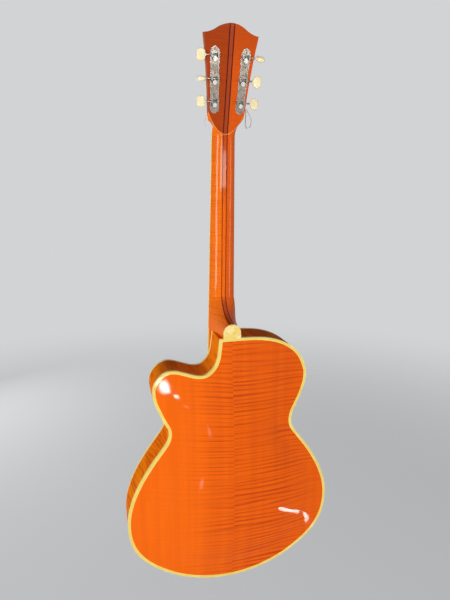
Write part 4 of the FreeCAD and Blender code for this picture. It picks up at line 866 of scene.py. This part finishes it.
# The six strings, from the lowest to the highest, in metres and degrees
strings = {
    "radii": (0.00066, 0.000528, 0.00041, 0.000317, 0.000224, 0.000172),
    "turns": (1.6, 2, 2.5, 3, 3.5, 4),         # round the post
    "woundCount": 4,                           # these have a wire wound round them
    "bassCount": 3,                            # these go to the keys on the bass side
    "nutSpread": 0.035,
    "saddleSpread": 0.052,
    "camber": 0.3,                             # radius of the rounded tops of nut and saddle
    "neckPitch": -3,
    "nutPlace": (-0.0127, 0.0025),             # y and z before the neck is pitched
    "saddlePlace": (-0.048645, -0.64112),      # y and z
    "tailPlace": (-0.033, -0.746),
    "postNeck": 0.0024,                        # radius of the post under the turns
    "holeDepth": -0.02766,                     # of the post's hole along its axis
    "holeExit": 0.001,
    "turnGap": 2.15,                           # from one turn to the next, in radii of the string
    "turnPoints": 24,
    "stub": ((0.002, -0.0004), (0.0032, 0.0016)),    # a short end: outwards and along the axis
    "speakingParts": 40,                       # from nut to saddle
    "afterParts": 12,
    "headParts": 6,
    "tip": 0.5,
    "loopShare": 0.7,
}
woundWires = {
    "woundString": {"light": tone(186, 164, 132), "dark": tone(104, 86, 62), "pitch": 0.0007},
    "plainString": {"light": tone(160, 156, 148), "dark": tone(128, 122, 114), "pitch": 0.004},
    "rough": 0.34,
    "ribDepth": 0.00004,
}
# What holds a string in the tailpiece: a ball, which is a short drum, and the twist above it
ballEnd = {
    "rings": (-1, -0.75, -0.5, 0.5, 0.75, 1),
    "halfLength": 0.0018,
    "radius": 0.00185,
    "sides": 20,
    "twistTurns": 4,
    "twistPoints": 10,
    "twistPitch": 0.0008,
    "twistReach": 1.5,                         # in radii of the string
    "twistWire": 0.5,
    "twistSides": 6,
}
# Loose ends at the lowest keys: the first route of a string starts at its post, the second is its loop
looseEnds = {
    1: [[(-0.0330, -0.0045, 0.0560), (-0.0400, -0.0080, 0.0530), (-0.0438, -0.0090, 0.0480),
         (-0.0432, -0.0095, 0.0335), (-0.0437, -0.0098, 0.0252), (-0.0453, -0.0100, 0.0213),
         (-0.0468, -0.0100, 0.0222)],
        [(-0.0330, -0.0045, 0.0560), (-0.0430, -0.0085, 0.0535), (-0.0479, -0.0095, 0.0485),
         (-0.0541, -0.0098, 0.0366), (-0.0528, -0.0100, 0.0243), (-0.0498, -0.0100, 0.0228)]],
    6: [[(0.0262, -0.0045, 0.0555), (0.0249, -0.0075, 0.0513), (0.0279, -0.0085, 0.0420),
         (0.0313, -0.0095, 0.0340), (0.0337, -0.0098, 0.0272), (0.0322, -0.0100, 0.0236),
         (0.0297, -0.0100, 0.0222)]],
}


def woundWire(name):
    trim = Finish(name)
    wire = woundWires[name]
    rib = trim.node("Math", {"operation": "SINE"}, {0: trim.z * (math.tau / wire["pitch"])})
    trim.set(Base_Color=trim.mix(trim.ramp(rib, -1, 1), wire["dark"], wire["light"]), Metallic=1.0,
             Roughness=woundWires["rough"])
    trim.bump(rib, woundWires["ribDepth"], 0.4)
    return trim


wound = woundWire("woundString")
plain = woundWire("plainString")
brass = metal("ballBrass")


def drop(x):
    # how far the rounded top of the nut or the saddle falls away at x
    return strings["camber"] - math.sqrt(strings["camber"] ** 2 - x ** 2)


def span(first, last, count):
    return [first.lerp(last, k / count) for k in range(count + 1)]


def bearings(number):
    # where a string lies on the nut and on the saddle, and where the tailpiece holds it
    share = (number - 1) / (len(strings["radii"]) - 1) - 0.5
    x = share * strings["nutSpread"]
    y, z = strings["nutPlace"]
    y += drop(x)
    pitch = math.radians(strings["neckPitch"])
    nut = Vector((x, y * math.cos(pitch) - z * math.sin(pitch), y * math.sin(pitch) + z * math.cos(pitch)))
    x = share * strings["saddleSpread"]
    y, z = strings["saddlePlace"]
    return nut, Vector((x, y + drop(x), z)), Vector((x, *strings["tailPlace"]))


def postRoute(number, tuner, side):
    # points of the turns round the post, and of the way out of its hole
    centre = Vector(joints["post_turn_" + tuner]["pos_m"])
    axis = Vector(joints["post_turn_" + tuner]["axis"])
    across = Vector(joints["key_turn_" + tuner]["axis"])
    outward = side * across
    up = across.cross(axis)
    radius, turns = strings["radii"][number - 1], strings["turns"][number - 1]
    around = strings["postNeck"] + radius
    step = strings["turnGap"] * radius
    start = strings["holeDepth"] + turns * step

    def onPost(angle):
        return (centre + axis * (start - step * angle / math.tau)
                + around * (math.sin(angle) * up - math.cos(angle) * outward))

    count = int(turns * strings["turnPoints"])
    coil = [onPost(turns * math.tau * k / count) for k in range(count + 1)]
    hole = centre + axis * strings["holeDepth"]
    out = hole + outward * (strings["postNeck"] + strings["holeExit"])
    stub = [out + outward * reach + axis * rise for reach, rise in strings["stub"]]
    return coil, [hole, out], stub


def makeBallEnd(number, tail, radius, finish):
    rings = [tail + Vector((0, ballEnd["halfLength"] * share, 0)) for share in ballEnd["rings"]]
    ball = tube(f"string_{number}_ball", rings, ballEnd["radius"], brass, ballEnd["sides"])
    foot = tail + Vector((0, 0, ballEnd["halfLength"]))
    reach = radius * ballEnd["twistReach"]
    count = ballEnd["twistTurns"] * ballEnd["twistPoints"]
    angles = [math.tau * k / ballEnd["twistPoints"] for k in range(count + 1)]
    twist = tube(f"string_{number}_twist",
                 [foot + Vector((reach * math.cos(angle), reach * math.sin(angle),
                                 ballEnd["twistPitch"] * angle / math.tau)) for angle in angles],
                 radius * ballEnd["twistWire"], finish, ballEnd["twistSides"])
    return [ball, twist]


def makeString(number):
    radius = strings["radii"][number - 1]
    finish = wound if number <= strings["woundCount"] else plain
    side, tuner = -1, f"bass_{number}"
    if number > strings["bassCount"]:
        side, tuner = 1, f"treble_{len(strings['radii']) + 1 - number}"
    nut, saddle, tail = bearings(number)
    coil, way, stub = postRoute(number, tuner, side)

    route = span(nut, saddle, strings["speakingParts"])
    speaking = tube(f"string_{number}_speaking", route, radius, finish)
    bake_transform(speaking)
    after = tube(f"string_{number}_after", span(saddle, tail, strings["afterParts"]), radius, finish)
    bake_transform(after)
    head = tube(f"string_{number}_head", span(nut, coil[0], strings["headParts"]), radius, finish)
    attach(head, "guitar")

    routes = looseEnds.get(number, [stub])
    tip = strings["tip"]
    onPost = [tube(f"string_{number}_coil", coil, radius, finish),
              tube(f"string_{number}_end", smoothRoute(way + routes[0]), radius, finish, tip=tip)]
    for route in routes[1:]:
        thin = radius * strings["loopShare"]
        onPost.append(tube(f"string_{number}_loop", smoothRoute(route), thin, finish, tip=tip))
    for piece in onPost:
        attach(piece, "post_" + tuner)
    atTail = makeBallEnd(number, tail, radius, finish)
    for piece in atTail:
        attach(piece, "guitar")

    pieces = [speaking, after, head] + onPost + atTail
    return pieces


stringPieces = [piece for number in range(1, len(strings["radii"]) + 1) for piece in makeString(number)]
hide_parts("strings")
print("strings made:", len(stringPieces), "pieces")
